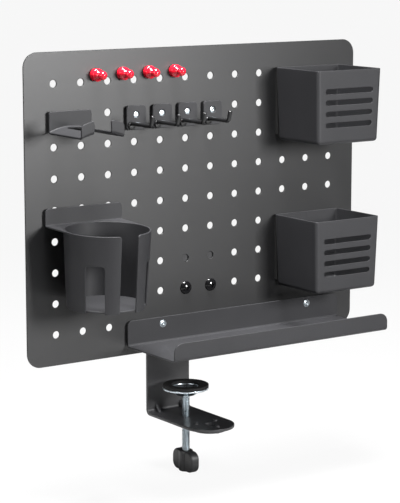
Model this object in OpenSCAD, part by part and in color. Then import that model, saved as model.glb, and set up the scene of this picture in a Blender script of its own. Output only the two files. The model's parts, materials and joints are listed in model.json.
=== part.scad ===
// Desk organizer: a punched steel panel on a screw clamp, with open bins, a pen tray, a cup
// holder, a headset hanger, hooks and push pins that all hold on to the panel by magnets.
// Millimetres, +Z up. The origin lies on the desk's top face, on the axis of the clamp screw.
// +X runs to the right along the panel, +Y points from the user through the panel.

/* [Board] */
// Distance between neighbouring holes, both ways
hole_pitch = 30; // [28:0.5:33]
// Diameter of a punched hole
hole_d = 7.25; // [6:0.25:9]
// Number of columns of holes
columns = 12; // [12:1:16]
// Number of rows of holes
rows = 9; // [9:1:12]
// Distance from the top and bottom rows of holes to the panel's edges
board_edge = 30; // [26:1:40]
// Distance from the outer columns of holes to the panel's sides
board_side = 32; // [26:0.5:40]
// Thickness of the panel
board_t = 1.5; // [1:0.1:2.5]
// Corner radius of the panel
board_corner_r = 14.5; // [5:0.5:20]
// Height of the panel's lower edge above the desk
board_lift = 1.5; // [0.5:0.5:5]
// Distance from the clamp screw's axis forward to the panel's front face
board_set = 22; // [21:0.5:35]

/* [Clamp plate] */
// Width of the folded clamp plate
clamp_w = 52; // [50:0.5:65]
// Thickness of the folded clamp plate
plate_t = 3; // [2:0.25:4]
// Inner radius of its folds
plate_fold_r = 3; // [2:0.25:5]
// Distance from the screw's axis back to the strip behind the desk edge
throat_depth = 31.5; // [27:0.5:45]
// Distance from the desk's top face down to the lower plate
throat_h = 76.5; // [70:0.5:90]
// Reach of the back plate above the upper row of holes that it covers
back_plate_over = 13.5; // [10:0.5:14]
// Radius of the back plate's upper corners
back_plate_r = 8; // [3:0.5:12]
// Distance from the screw's axis to the centre of the lower plate's round end
tongue_reach = 40.5; // [38:0.5:55]
// Diameter of the two holes for the clamp screw in the lower plate
screw_hole_d = 9; // [8.75:0.25:10]
// Leg of the pressed ribs in the lower fold
rib_leg = 8; // [6:0.5:12]
// Thickness of a rib
rib_t = 4; // [2:0.5:6]
// Distance of each rib from the middle of the plate
rib_set = 15; // [8:0.5:20]
// Thickness of the soft pad under the upper jaw
jaw_pad_t = 2; // [1:0.25:4]
// Distance of the pad from the jaw's edges
jaw_pad_inset = 3; // [1:0.5:6]

/* [Spare nut] */
// Distance of the spare nut's axis from the tip of the lower plate
spare_from_tip = 24.5; // [22:0.25:27]
// Diameter of the circle of its rivets
rivet_circle_d = 27.5; // [24:0.5:29]
// Number of rivets
rivet_count = 3; // [3:1:4]
// Diameter of a rivet head
rivet_head_d = 5.5; // [4:0.25:6]
// Height of a rivet head
rivet_head_h = 2; // [1:0.25:3]
// Diameter of a rivet shank
rivet_shank_d = 3; // [2:0.25:3.5]
// Diameter of the spare nut plate
spare_nut_d = 35; // [34:0.5:38]
// Thickness of the spare nut plate
spare_nut_t = 3; // [2:0.25:4]

/* [Panel fasteners] */
// Diameter of the panel screws
bolt_d = 6; // [5:0.25:6]
// Diameter of the holes for them in the back plate
bolt_hole_d = 6.6; // [6.5:0.1:8]
// Diameter of a panel screw's head
bolt_head_d = 13; // [12:0.25:15]
// Height of the head's straight rim
bolt_rim_h = 1.4; // [0.5:0.1:2]
// Height of the head's crown above its rim
bolt_crown_h = 2.4; // [1.8:0.1:3]
// Length of the cross recess
bolt_cross_l = 6.4; // [4:0.2:8]
// Width of the cross recess
bolt_cross_w = 1.4; // [1:0.1:2]
// Depth of the cross recess
bolt_cross_h = 2; // [1:0.1:3]
// Width across the flats of the nut behind the panel
bolt_nut_af = 10; // [9.5:0.25:12]
// Height of that nut
bolt_nut_h = 5; // [3:0.25:6]
// Length of screw beyond the nut
bolt_end = 2; // [0.5:0.25:5]

/* [Clamp screw] */
// Diameter of the clamp screw over its thread
screw_d = 8; // [7:0.25:8.5]
// Width across the flats of the welded nut
nut_af = 13; // [12:0.25:14]
// Height of the welded nut
nut_h = 6.5; // [5:0.25:8]
// Gap between the desk's top face and the rubber ring with the clamp half open
disc_gap = 43.7; // [40:0.1:46]
// Thickness of the rubber ring
ring_t = 3; // [2:0.25:4]
// Outer diameter of the dish and its rubber ring
disc_d = 47; // [42:0.5:50]
// Inner diameter of the rubber ring
ring_bore_d = 29; // [27:0.5:32]
// Height of the dish's bright rim
disc_rim_t = 2; // [1.5:0.1:3]
// Outer diameter of the dish's cone, under the rim
disc_cone_d = 35; // [33:0.5:38]
// Depth of the dish from its rim to its underside
disc_depth = 7.9; // [7:0.1:10]
// Diameter of the flat hub under the dish
hub_d = 20; // [18:0.5:22]
// Thickness of the dish's sheet
disc_sheet = 1.6; // [1:0.1:2]
// Diameter of the screw's neck in the hub
neck_d = 6; // [4:0.25:6.5]
// Diameter of the peened head that holds the dish
peen_d = 11; // [9:0.25:13]
// Height of the peened head
peen_h = 2.5; // [1.5:0.25:3]
// Gap between the lower plate and the knob with the clamp half open
knob_gap = 33.5; // [30:0.1:38]
// Width of the knob's blade, front to back
knob_w = 35.5; // [30:0.5:40]
// Thickness of the knob's blade
knob_t = 10; // [9:0.5:14]
// Diameter of the knob's round hub
knob_hub_d = 14.6; // [13:0.2:18]
// Height of the knob
knob_h = 21.6; // [19:0.2:28]
// Corner radius of the knob
knob_r = 8; // [4:0.5:9]
// Length of the clamp screw held inside the knob
knob_grip = 16; // [10:0.5:18]

/* [Magnet pads] */
// Thickness of the magnet pads between the panel and the accessories
pad_t = 2.5; // [1:0.1:3]
// Distance of a magnet pad from the edges of the sheet in front of it
pad_inset = 2; // [1:0.25:4]
// Diameter of the countersunk seats for the pad rivets
seat_d = 7; // [6:0.25:7.5]
// Depth of those seats
seat_h = 1; // [0.6:0.1:1.2]
// Diameter of a pad rivet's head
pad_rivet_head_d = 6.4; // [4:0.1:6.5]
// Height of a pad rivet's head
pad_rivet_head_h = 0.5; // [0.3:0.1:0.6]
// Diameter of a pad rivet's shank
pad_rivet_d = 3; // [2:0.25:3.5]

/* [Pen tray] */
// Width of the pen tray
tray_w = 262.5; // [220:0.5:280]
// Distance from the panel to the front of the tray's lip
tray_reach = 85.5; // [60:0.5:110]
// Thickness of the tray's sheet
tray_sheet = 1.6; // [1.3:0.1:2]
// Inner radius of the tray's folds
tray_fold_r = 2; // [1:0.25:4]
// Height of the tray's back flange
tray_back_h = 26.5; // [24:0.1:34]
// Height of the tray's front lip
tray_lip_h = 18.2; // [14:0.2:24]
// Corner radius of the back flange
tray_back_r = 5.5; // [2:0.5:8]
// Corner radius of the front lip
tray_lip_r = 9; // [3:0.5:10]
// Height of the tray's underside above the desk
tray_lift = 9.5; // [6:0.1:12]
// Height of the tray's rivets above its underside
tray_rivet_h = 19.5; // [16:0.1:20]

/* [Bins] */
// Width of a bin at its rim
bin_w = 81.5; // [70:0.5:90]
// Depth of a bin at its rim, front to back
bin_deep = 69.3; // [50:0.1:90]
// Height of a bin
bin_h = 73.5; // [60:0.5:80]
// Gap between the panel and the rim of the bin's back wall
bin_gap = 2.2; // [2:0.1:6]
// Thickness of a bin's sheet
bin_sheet = 1.5; // [1:0.1:2]
// Outer radius of a bin's edges
bin_corner_r = 3.75; // [2.5:0.25:5]
// Height of the straight rim
bin_rim_h = 2; // [1:0.5:4]
// How far each side wall leans in at the bottom
bin_side_lean = 2.2; // [0:0.1:4]
// How far the front wall leans in at the bottom
bin_front_lean = 1.3; // [0:0.1:4]
// How far the back wall leans off the panel at the bottom
bin_back_lean = 2; // [0:0.1:4]
// Number of slots in a bin's front
bin_slots = 4; // [3:1:4]
// Length of a slot
bin_slot_w = 61.5; // [40:0.5:62]
// Height of a slot
bin_slot_h = 5.2; // [3:0.1:6]
// Distance between slots
bin_slot_pitch = 11.2; // [9:0.1:12]
// Distance from the rim to the middle of the first slot
bin_first_slot = 20.7; // [15:0.1:22]
// Height of the bin's rim above the row of holes behind it
bin_rise = 4.8; // [0:0.1:8]

/* [Cup holder] */
// Inner diameter of the cup holder at its rim
cup_bore_d = 79.4; // [74:0.2:82]
// Inner diameter of the cup holder at its foot
cup_foot_d = 73.2; // [68:0.2:79]
// Thickness of the cup holder's sheet
cup_sheet = 1.6; // [1.4:0.1:2.5]
// Height of the cup holder under its shelf's upper face
cup_h = 74; // [60:0.5:90]
// Distance from the panel to the cup's axis
cup_reach = 45.5; // [44.5:0.5:60]
// Width of the flange and the shelf at the panel
cup_flange_w = 85; // [84:0.5:95]
// Height of the flange above the shelf's upper face
cup_flange_h = 16; // [12:0.5:20]
// Corner radius of the flange
cup_flange_r = 4; // [1:0.5:6]
// Inner radius of the fold between flange and shelf
cup_fold_r = 1; // [0.5:0.25:4]
// Width of the handle slot
cup_slot_w = 18.2; // [12:0.2:26]
// Width of the two side windows
cup_window_w = 18.8; // [12:0.2:26]
// Height of the side windows
cup_window_h = 45.5; // [30:0.5:50]
// Corner radius of the slot and the windows
cup_cut_r = 3; // [1:0.5:5]
// Angle of each side window from the panel's direction, in degrees
cup_window_angle = 41; // [34:1:44]
// Distance of the shelf's upper face below the row of holes behind it
cup_drop = 13; // [6:0.2:20]
// Height of the floor's upper face above the cup holder's foot
cup_floor_h = 2.6; // [2.5:0.1:6]
// How far the shelf and the cup sag forward, in degrees
cup_sag = 1.8; // [0:0.2:4]

/* [Headset hanger] */
// Width of the hanger
hanger_w = 46.5; // [42:0.5:50]
// Distance from the panel to the front of its lips
hanger_reach = 62.5; // [45:0.5:80]
// Thickness of the hanger's sheet
hanger_sheet = 2; // [1.5:0.1:2.5]
// Height of the hanger's back plate
hanger_h = 21.3; // [18:0.1:26]
// Rise of the arched floor in the middle
hanger_rise = 4.8; // [3:0.1:6]
// Height of the lips
hanger_lip_h = 12.8; // [9:0.1:18]
// Width of the notch between the two prongs
hanger_notch_w = 18.4; // [14:0.2:22]
// Distance from the panel to the closed end of the notch
hanger_notch_back = 7.5; // [7:0.25:12]
// Upper corner radius of the back plate
hanger_r = 2.5; // [1:0.25:4]
// Distance of the hanger's lower corners below the row of holes beside it
hanger_drop = 17; // [12:0.2:20]

/* [Hooks] */
// Width of a hook's plate
hook_w = 22; // [20:0.5:25]
// Height of a hook's plate
hook_h = 23.5; // [22:0.5:28]
// Corner radius of the plate
hook_corner_r = 3.25; // [2:0.25:6]
// Thickness of the plate
hook_sheet = 1.8; // [1.4:0.1:2.5]
// Height of the plate's rivet above its lower edge
hook_rivet_h = 14.6; // [13:0.1:17]
// Diameter of the hook's rod
hook_rod_d = 4; // [3:0.25:5]
// Distance of the rod left of the plate's middle
hook_rod_side = 6; // [4:0.25:6.5]
// Height of the rod above the plate's lower edge
hook_rod_h = 6.4; // [5.5:0.1:7]
// Distance from the panel to the corner of the rod
hook_reach = 40; // [25:0.5:60]
// Radius of the rod's bend
hook_bend_r = 4; // [3.5:0.25:6]
// Outward lean of the hook's tip, in degrees
hook_tip_lean = 17; // [0:1:30]
// Length of the straight tip
hook_tip_l = 8; // [4:0.5:14]
// Diameter of the round weld collar at the rod's root
collar_d = 8; // [7:0.25:9]
// Thickness of that collar
collar_t = 2.2; // [1:0.1:3]
// How far the rod stands out above the collar's edge
collar_over = 0.3; // [0.2:0.05:1]
// Distance of a hook's rivet below the row of holes behind it
hook_drop = 3.5; // [0:0.1:6]

/* [Push pins] */
// Diameter of a push pin's base
pin_base_d = 12.5; // [10:0.5:14]
// Height of the base's straight part
pin_base_h = 5.5; // [3.5:0.25:6.5]
// Height of the shoulder above it
pin_shoulder_h = 3; // [2:0.2:5]
// Diameter of the top of the shoulder
pin_shoulder_d = 8; // [7:0.25:9]
// Diameter of the neck
pin_neck_d = 4.6; // [3:0.2:6]
// Diameter of the ball tip
pin_ball_d = 8.5; // [6:0.25:9.5]
// Height of the whole push pin
pin_h = 17.5; // [15:0.25:20]
// Diameter of the magnet in the base
pin_magnet_d = 8; // [6:0.25:9]
// Thickness of the magnet in the base
pin_magnet_t = 2.5; // [1.5:0.25:3]
// Height of the push pins above the top row of holes
pin_rise = 6.5; // [4:0.25:9]

/* [Hidden] */
$fn = 64;
// Facets of the rounded edges that a hull blends
hull_fn = 32;
// Overrun of a cut past the surface that it opens
over = 1;
// Radial clearance of a turning or threaded fit
run_gap = 0.1;
// Radial clearance of pieces that are pressed, welded or screwed together
press_gap = 0.05;
// Axial play of the dish on its neck
neck_play = 0.1;
// How much smaller the radius of a hook's straight tip is, and how far it reaches into the bend
tip_step = 0.1;
tip_root = 0.5;

// Columns and rows, counted from the upper left hole, behind each accessory
tray_col = 7;
tray_rivet_cols = 3;
bin_col = 9.98;
bin_rows = [0, 5];
cup_col = 1;
cup_row = 4;
hanger_col = 0.53;
hanger_row = 1;
hook_cols = [3, 4, 5, 6];
hook_row = 1;
pin_cols = [1.55, 2.55, 3.55, 4.55];
bolt_row = rows - 2;
back_row = rows - 3;

board_w = (columns - 1) * hole_pitch + 2 * board_side;
board_h = (rows - 1) * hole_pitch + 2 * board_edge;
back_plate_y = -board_set + board_t;
jaw_z = jaw_pad_t;
jaw_mid = (throat_depth + back_plate_y) / 2;
lower_plate_z = -throat_h - plate_t;
spare_y = -(tongue_reach + clamp_w / 2 - spare_from_tip);
bolt_x = hole_pitch / 2;
dish_z = -disc_gap - ring_t;
hub_z = dish_z - disc_depth;
knob_z = lower_plate_z - knob_gap;
bin_pad_h = bin_h - bin_rim_h - bin_corner_r - 2 * pad_inset;
cup_r = cup_bore_d / 2;
cup_foot_r = cup_foot_d / 2;
cup_wall_r = cup_r + cup_sheet;
cup_fold_y = -pad_t - cup_sheet - cup_fold_r;
hanger_prong_w = (hanger_w - hanger_notch_w) / 2;
hanger_arch_r = (hanger_w * hanger_w / 4 + hanger_rise * hanger_rise) / (2 * hanger_rise);
hanger_arch_z = hanger_rise - hanger_arch_r;
pin_ball_h = pin_h - pin_ball_d / 2;
bolt_reach = board_t + plate_t + bolt_nut_h + bolt_end;

black = "#262628";
dark_coat = "#3a3a3c";
zinc = "#b8c4cc";

function col_x(c) = (c - (columns - 1) / 2) * hole_pitch;
function cup_r_at(h) = cup_foot_r + (cup_r - cup_foot_r) * h / cup_h;
function row_z(r) = board_lift + board_edge + (rows - 1 - r) * hole_pitch;

// Turns a drawing in the x-z plane to face the user: its thickness grows towards -Y
module outward() {
    rotate([90, 0, 0]) children();
}

// Extrudes a drawing of the y-z plane along X, centred
module along_x(w) {
    rotate([90, 0, 90]) linear_extrude(w, center = true) children();
}

// Moves to the panel's front face, at a column and a row of holes
module at_hole(c, r) {
    translate([col_x(c), -board_set, row_z(r)]) children();
}

// Outline of a plate that stands on y = 0, with its own radii at the foot and at the top
module plate_outline(w, h, foot_r, top_r) {
    translate([-w / 2, foot_r]) square([w, h - foot_r - top_r]);
    if (foot_r > 0) {
        translate([foot_r - w / 2, 0]) square([w - 2 * foot_r, foot_r]);
        for (s = [-1, 1]) translate([s * (w / 2 - foot_r), foot_r]) circle(foot_r);
    }
    if (top_r > 0) {
        translate([top_r - w / 2, h - top_r]) square([w - 2 * top_r, top_r]);
        for (s = [-1, 1]) translate([s * (w / 2 - top_r), h - top_r]) circle(top_r);
    }
}

// Quarter of a fold: a ring segment in the quadrant that the signs name
module fold(r, t, side_y, side_z) {
    intersection() {
        difference() {
            circle(r + t);
            circle(r);
        }
        translate([side_y > 0 ? 0 : -r - t, side_z > 0 ? 0 : -r - t]) square(r + t);
    }
}

// Round crown of a head: a spherical cap on a flat circle
module crown(d, h) {
    ball_r = (d * d / 4 + h * h) / (2 * h);
    intersection() {
        translate([0, 0, h - ball_r]) sphere(ball_r);
        cylinder(d = d, h = h);
    }
}

// Hexagonal nut with a round bore, standing on z = 0
module hex_nut(af, h, bore) {
    difference() {
        cylinder(d = af / cos(30), h = h, $fn = 6);
        translate([0, 0, -over]) cylinder(d = bore, h = h + 2 * over);
    }
}

// Places something at each rivet of the spare nut
module at_rivets() {
    for (i = [0 : rivet_count - 1])
        translate([0, spare_y, 0]) rotate(i * 360 / rivet_count - 90)
            translate([rivet_circle_d / 2, 0, 0]) children();
}

module pegboard() {
    color(dark_coat) translate([0, back_plate_y, board_lift]) outward() linear_extrude(board_t)
        difference() {
            plate_outline(board_w, board_h, board_corner_r, board_corner_r);
            for (c = [0 : columns - 1], r = [0 : rows - 1])
                translate([col_x(c), row_z(r) - board_lift]) circle(d = hole_d);
        }
}

module clamp_bracket() {
    rise = row_z(back_row) + back_plate_over - jaw_z - plate_t - plate_fold_r;
    color(black) difference() {
        union() {
            translate([0, back_plate_y + plate_t, jaw_z + plate_t + plate_fold_r]) outward()
                linear_extrude(plate_t) plate_outline(clamp_w, rise, 0, back_plate_r);
            along_x(clamp_w) {
                translate([back_plate_y + plate_t + plate_fold_r, jaw_z + plate_t + plate_fold_r])
                    fold(plate_fold_r, plate_t, -1, -1);
                translate([back_plate_y + plate_t + plate_fold_r, jaw_z])
                    square([throat_depth - back_plate_y - plate_t - 2 * plate_fold_r, plate_t]);
                translate([throat_depth - plate_fold_r, jaw_z - plate_fold_r])
                    fold(plate_fold_r, plate_t, 1, 1);
                translate([throat_depth, plate_fold_r - throat_h])
                    square([plate_t, throat_h + jaw_z - 2 * plate_fold_r]);
                translate([throat_depth - plate_fold_r, plate_fold_r - throat_h])
                    fold(plate_fold_r, plate_t, 1, -1);
            }
            for (s = [-1, 1]) translate([s * rib_set, 0, 0]) along_x(rib_t)
                polygon([
                    [throat_depth, -throat_h - plate_t / 2], [throat_depth - rib_leg, -throat_h - plate_t / 2],
                    [throat_depth - rib_leg, -throat_h], [throat_depth, rib_leg - throat_h]
                ]);
            translate([0, 0, lower_plate_z]) linear_extrude(plate_t) {
                translate([-clamp_w / 2, -tongue_reach])
                    square([clamp_w, tongue_reach + throat_depth - plate_fold_r]);
                translate([0, -tongue_reach]) circle(clamp_w / 2);
            }
        }
        for (y = [0, spare_y])
            translate([0, y, lower_plate_z - over]) cylinder(d = screw_hole_d, h = plate_t + 2 * over);
        at_rivets() translate([0, 0, lower_plate_z - over])
            cylinder(d = rivet_shank_d + 2 * press_gap, h = plate_t + 2 * over);
        for (s = [-1, 1]) translate([s * bolt_x, back_plate_y + plate_t + over, row_z(bolt_row)])
            outward() cylinder(d = bolt_hole_d, h = plate_t + 2 * over);
    }
}

module jaw_pad() {
    color("#161616") translate([0, jaw_mid, 0]) linear_extrude(jaw_pad_t)
        square([
            clamp_w - 2 * jaw_pad_inset,
            throat_depth - back_plate_y - 2 * plate_fold_r - 2 * jaw_pad_inset
        ], center = true);
}

module board_screws() {
    color("#101010") for (s = [-1, 1])
        translate([s * bolt_x, -board_set, row_z(bolt_row)]) outward() {
            difference() {
                union() {
                    cylinder(d = bolt_head_d, h = bolt_rim_h);
                    translate([0, 0, bolt_rim_h]) crown(bolt_head_d, bolt_crown_h);
                }
                for (a = [0, 90]) rotate(a)
                    translate([-bolt_cross_l / 2, -bolt_cross_w / 2, bolt_rim_h + bolt_crown_h - bolt_cross_h])
                        cube([bolt_cross_l, bolt_cross_w, bolt_cross_h + over]);
            }
            translate([0, 0, -bolt_reach]) cylinder(d = bolt_d, h = bolt_reach);
        }
}

module board_nuts() {
    color(zinc) for (s = [-1, 1])
        translate([s * bolt_x, back_plate_y + plate_t + bolt_nut_h, row_z(bolt_row)]) outward()
            hex_nut(bolt_nut_af, bolt_nut_h, bolt_d + 2 * press_gap);
}

module clamp_nut() {
    color(zinc) translate([0, 0, lower_plate_z - nut_h])
        hex_nut(nut_af, nut_h, screw_d + 2 * run_gap);
}

module plate_rivets() {
    color(black) at_rivets() {
        translate([0, 0, -throat_h]) crown(rivet_head_d, rivet_head_h);
        translate([0, 0, lower_plate_z - spare_nut_t]) cylinder(d = rivet_shank_d, h = plate_t + spare_nut_t);
        translate([0, 0, lower_plate_z - spare_nut_t]) mirror([0, 0, 1])
            crown(rivet_head_d, rivet_head_h / 2);
    }
}

module spare_nut_plate() {
    color(black) difference() {
        translate([0, spare_y, lower_plate_z - spare_nut_t]) cylinder(d = spare_nut_d, h = spare_nut_t);
        translate([0, spare_y, lower_plate_z - spare_nut_t - over])
            cylinder(d = screw_d + 2 * run_gap, h = spare_nut_t + 2 * over);
        at_rivets() translate([0, 0, lower_plate_z - spare_nut_t - over])
            cylinder(d = rivet_shank_d + 2 * press_gap, h = spare_nut_t + 2 * over);
    }
}

module clamp_screw() {
    color(zinc) {
        translate([0, 0, knob_z - knob_grip]) cylinder(d = screw_d, h = hub_z - knob_z + knob_grip);
        translate([0, 0, hub_z]) cylinder(d = neck_d, h = disc_sheet + neck_play);
        translate([0, 0, hub_z + disc_sheet + neck_play]) crown(peen_d, peen_h);
    }
}

module screw_knob() {
    color(black) difference() {
        translate([0, 0, knob_z - knob_h]) {
            along_x(knob_t) plate_outline(knob_w, knob_h, knob_r, knob_r);
            cylinder(d = knob_hub_d, h = knob_h);
        }
        translate([0, 0, knob_z - knob_grip])
            cylinder(d = screw_d + 2 * press_gap, h = knob_grip + over);
    }
}

module clamp_disc() {
    color(zinc) translate([0, 0, dish_z]) rotate_extrude()
        polygon([
            [neck_d / 2 + run_gap, -disc_depth], [hub_d / 2, -disc_depth],
            [disc_cone_d / 2, -disc_rim_t], [disc_d / 2, -disc_rim_t], [disc_d / 2, 0],
            [ring_bore_d / 2, 0], [ring_bore_d / 2, -disc_sheet / 2],
            [hub_d / 2 - disc_sheet, disc_sheet - disc_depth], [neck_d / 2 + run_gap, disc_sheet - disc_depth]
        ]);
}

module disc_rubber() {
    color("#0b0b0b") difference() {
        translate([0, 0, dish_z]) cylinder(d = disc_d, h = ring_t);
        translate([0, 0, dish_z - over]) cylinder(d = ring_bore_d, h = ring_t + 2 * over);
    }
}

// Moves to the panel's face, under the middle of the tray
module at_tray() {
    translate([col_x(tray_col), -board_set, tray_lift]) children();
}

// Places something at each rivet of the tray
module at_tray_rivets() {
    at_tray() for (s = [-1, 1])
        translate([s * tray_rivet_cols * hole_pitch, 0, tray_rivet_h]) children();
}

// The stepped hole for a pad rivet, cut from the front of a sheet
module rivet_seat(sheet) {
    translate([0, -pad_t - sheet + seat_h, 0]) outward() cylinder(d = seat_d, h = seat_h + over);
    translate([0, over, 0]) outward() cylinder(d = pad_rivet_d + 2 * press_gap, h = pad_t + sheet + over);
}

// A pad rivet: head in its seat, shank back through the sheet and the magnet pad
module pad_rivet(sheet) {
    translate([0, -pad_t - sheet + seat_h, 0]) outward() crown(pad_rivet_head_d, pad_rivet_head_h);
    outward() cylinder(d = pad_rivet_d, h = pad_t + sheet - seat_h);
}

module tray() {
    foot = tray_sheet + tray_fold_r;
    color(dark_coat) difference() {
        at_tray() {
            translate([0, -pad_t, foot]) outward() linear_extrude(tray_sheet)
                plate_outline(tray_w, tray_back_h - foot, 0, tray_back_r);
            translate([0, tray_sheet - tray_reach, foot]) outward() linear_extrude(tray_sheet)
                plate_outline(tray_w, tray_lip_h - foot, 0, tray_lip_r);
            along_x(tray_w) {
                translate([-pad_t - foot, foot]) fold(tray_fold_r, tray_sheet, 1, -1);
                translate([foot - tray_reach, foot]) fold(tray_fold_r, tray_sheet, -1, -1);
                translate([foot - tray_reach, 0]) square([tray_reach - pad_t - 2 * foot, tray_sheet]);
            }
        }
        at_tray_rivets() rivet_seat(tray_sheet);
    }
}

module tray_magnets() {
    foot = tray_sheet + tray_fold_r;
    color("#141414") difference() {
        at_tray() translate([0, 0, foot]) outward() linear_extrude(pad_t)
            plate_outline(tray_w - 2 * pad_inset, tray_back_h - foot - pad_inset, 0, tray_back_r - pad_inset);
        at_tray_rivets() rivet_seat(tray_sheet);
    }
}

module tray_rivets() {
    color(zinc) at_tray_rivets() pad_rivet(tray_sheet);
}

// The bin's rounded tapered block, with all its edges at one radius: outside or inside
module bin_form(r, top) {
    side = bin_w / 2 - bin_corner_r;
    back = bin_gap + bin_corner_r;
    front = bin_gap + bin_deep - bin_corner_r;
    hull() for (s = [-1, 1]) {
        for (y = [back, front])
            translate([s * side, -y, -bin_rim_h]) cylinder(r = r, h = bin_rim_h + top, $fn = hull_fn);
        for (y = [back + bin_back_lean, front - bin_front_lean])
            translate([s * (side - bin_side_lean), -y, bin_corner_r - bin_h]) sphere(r, $fn = hull_fn);
    }
}

// Slot outline: a bar with round ends
module slot_outline(w, h) {
    square([w - h, h], center = true);
    for (s = [-1, 1]) translate([s * (w - h) / 2, 0]) circle(d = h);
}

module bin(row) {
    wall_y = bin_gap + bin_deep + over;
    color(dark_coat) at_hole(bin_col, row) translate([0, 0, bin_rise]) difference() {
        bin_form(bin_corner_r, 0);
        bin_form(bin_corner_r - bin_sheet, over);
        for (i = [0 : bin_slots - 1])
            translate([0, bin_sheet + bin_front_lean + 2 * over - wall_y, -bin_first_slot - i * bin_slot_pitch])
                outward() linear_extrude(bin_sheet + bin_front_lean + 2 * over)
                    slot_outline(bin_slot_w, bin_slot_h);
    }
}

// The block between the panel and the bin's leaning back wall
module bin_magnet(row) {
    lean = bin_back_lean / (bin_h - bin_rim_h - bin_corner_r);
    top = bin_rim_h + pad_inset;
    color("#141414") at_hole(bin_col, row) translate([0, 0, bin_rise])
        along_x(bin_w - 2 * bin_side_lean)
            polygon([
                [0, -top], [0, -top - bin_pad_h],
                [-bin_gap - lean * (bin_pad_h + top - bin_rim_h), -top - bin_pad_h],
                [-bin_gap - lean * (top - bin_rim_h), -top]
            ]);
}

// Moves to the panel's face, at the height of the cup holder's shelf
module at_cup() {
    at_hole(cup_col, cup_row) translate([0, 0, -cup_drop]) children();
}

// Tips the shelf and the cup forward, about the middle of the fold
module cup_tipped() {
    translate([0, cup_fold_y, cup_fold_r]) rotate([cup_sag, 0, 0])
        translate([0, -cup_fold_y, -cup_fold_r]) children();
}

// A round cone on the cup's axis, between two heights above its foot, this much wider than the bore
module cup_cone(low, high, more) {
    translate([0, -cup_reach, low - cup_h])
        cylinder(r1 = cup_r_at(low) + more, r2 = cup_r_at(high) + more, h = high - low);
}

// The handle slot through the cup's wall, with round upper corners on both sides
module cup_slot() {
    translate([0, -cup_reach, -cup_h - over]) outward() linear_extrude(cup_wall_r + over) {
        translate([-cup_slot_w / 2, 0]) square([cup_slot_w, cup_h + 2 * over]);
        for (s = [-1, 1]) translate([s * (cup_slot_w / 2 + cup_cut_r), cup_h + over - cup_cut_r])
            difference() {
                translate([s > 0 ? -cup_cut_r - over : 0, 0]) square([cup_cut_r + over, cup_cut_r + over]);
                circle(cup_cut_r);
            }
    }
}

// A side window through the cup's wall, open at the foot
module cup_window(angle) {
    translate([0, -cup_reach, -cup_h - over]) rotate([0, 0, angle]) rotate([90, 0, 90])
        linear_extrude(cup_wall_r + over) plate_outline(cup_window_w, cup_window_h + over, 0, cup_cut_r);
}

module cup_holder() {
    color(dark_coat) at_cup() {
        translate([0, -pad_t, cup_fold_r]) outward() linear_extrude(cup_sheet)
            plate_outline(cup_flange_w, cup_flange_h - cup_fold_r, 0, cup_flange_r);
        along_x(cup_flange_w) translate([cup_fold_y, cup_fold_r]) intersection() {
            fold(cup_fold_r, cup_sheet, 1, -1);
            rotate(cup_sag) fold(cup_fold_r, cup_sheet, 1, -1);
        }
        cup_tipped() difference() {
            union() {
                translate([0, 0, -cup_sheet]) linear_extrude(cup_sheet) polygon([
                    [-cup_flange_w / 2, cup_fold_y], [cup_flange_w / 2, cup_fold_y],
                    [cup_wall_r, -cup_reach], [-cup_wall_r, -cup_reach]
                ]);
                cup_cone(0, cup_h, cup_sheet);
            }
            cup_cone(-over, cup_h + over, 0);
            cup_slot();
            cup_window(-cup_window_angle);
            cup_window(cup_window_angle - 180);
        }
    }
}

module cup_floor() {
    color(dark_coat) at_cup() cup_tipped() cup_cone(cup_floor_h - cup_sheet, cup_floor_h, -press_gap);
}

module cup_magnet() {
    color("#141414") at_cup() translate([0, 0, cup_fold_r]) outward() linear_extrude(pad_t)
        plate_outline(cup_flange_w - 2 * pad_inset, cup_flange_h - cup_fold_r - pad_inset, 0, pad_inset);
}

// Moves to the panel's face, at the height of the hanger's lower corners
module at_hanger() {
    at_hole(hanger_col, hanger_row) translate([0, 0, -hanger_drop]) children();
}

// The band between two arcs of the hanger's arch, one a height above the other
module arch_band(h, w) {
    intersection() {
        difference() {
            translate([0, hanger_arch_z + h]) circle(hanger_arch_r);
            translate([0, hanger_arch_z]) circle(hanger_arch_r);
        }
        translate([-w / 2, 0]) square([w, h + hanger_rise]);
    }
}

module headset_hanger() {
    color(dark_coat) at_hanger() {
        translate([0, -pad_t, 0]) outward() linear_extrude(hanger_sheet) difference() {
            plate_outline(hanger_w, hanger_h, 0, hanger_r);
            translate([0, hanger_arch_z]) circle(hanger_arch_r);
        }
        difference() {
            translate([0, -pad_t, 0]) outward() linear_extrude(hanger_reach - pad_t)
                arch_band(hanger_sheet, hanger_w);
            hanger_notch();
        }
        difference() {
            translate([0, hanger_sheet - hanger_reach, 0]) outward() linear_extrude(hanger_sheet)
                arch_band(hanger_lip_h, hanger_w);
            hanger_notch();
        }
    }
}

// The open notch between the prongs, with a round closed end
module hanger_notch() {
    round_y = -hanger_notch_back - hanger_notch_w / 2;
    translate([0, round_y, -over]) cylinder(d = hanger_notch_w, h = hanger_h + 2 * over);
    translate([-hanger_notch_w / 2, -hanger_reach - over, -over])
        cube([hanger_notch_w, hanger_reach + over + round_y, hanger_h + 2 * over]);
}

module hanger_magnet() {
    foot = hanger_rise + hanger_sheet;
    color("#141414") at_hanger() translate([0, 0, foot]) outward() linear_extrude(pad_t)
        plate_outline(hanger_w - 2 * pad_inset, hanger_h - foot - pad_inset, 0, pad_inset / 2);
}

// Moves to the panel's face, at the middle of a hook plate's lower edge
module at_hook(i) {
    at_hole(hook_cols[i], hook_row) translate([0, 0, -hook_drop - hook_rivet_h]) children();
}

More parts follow.
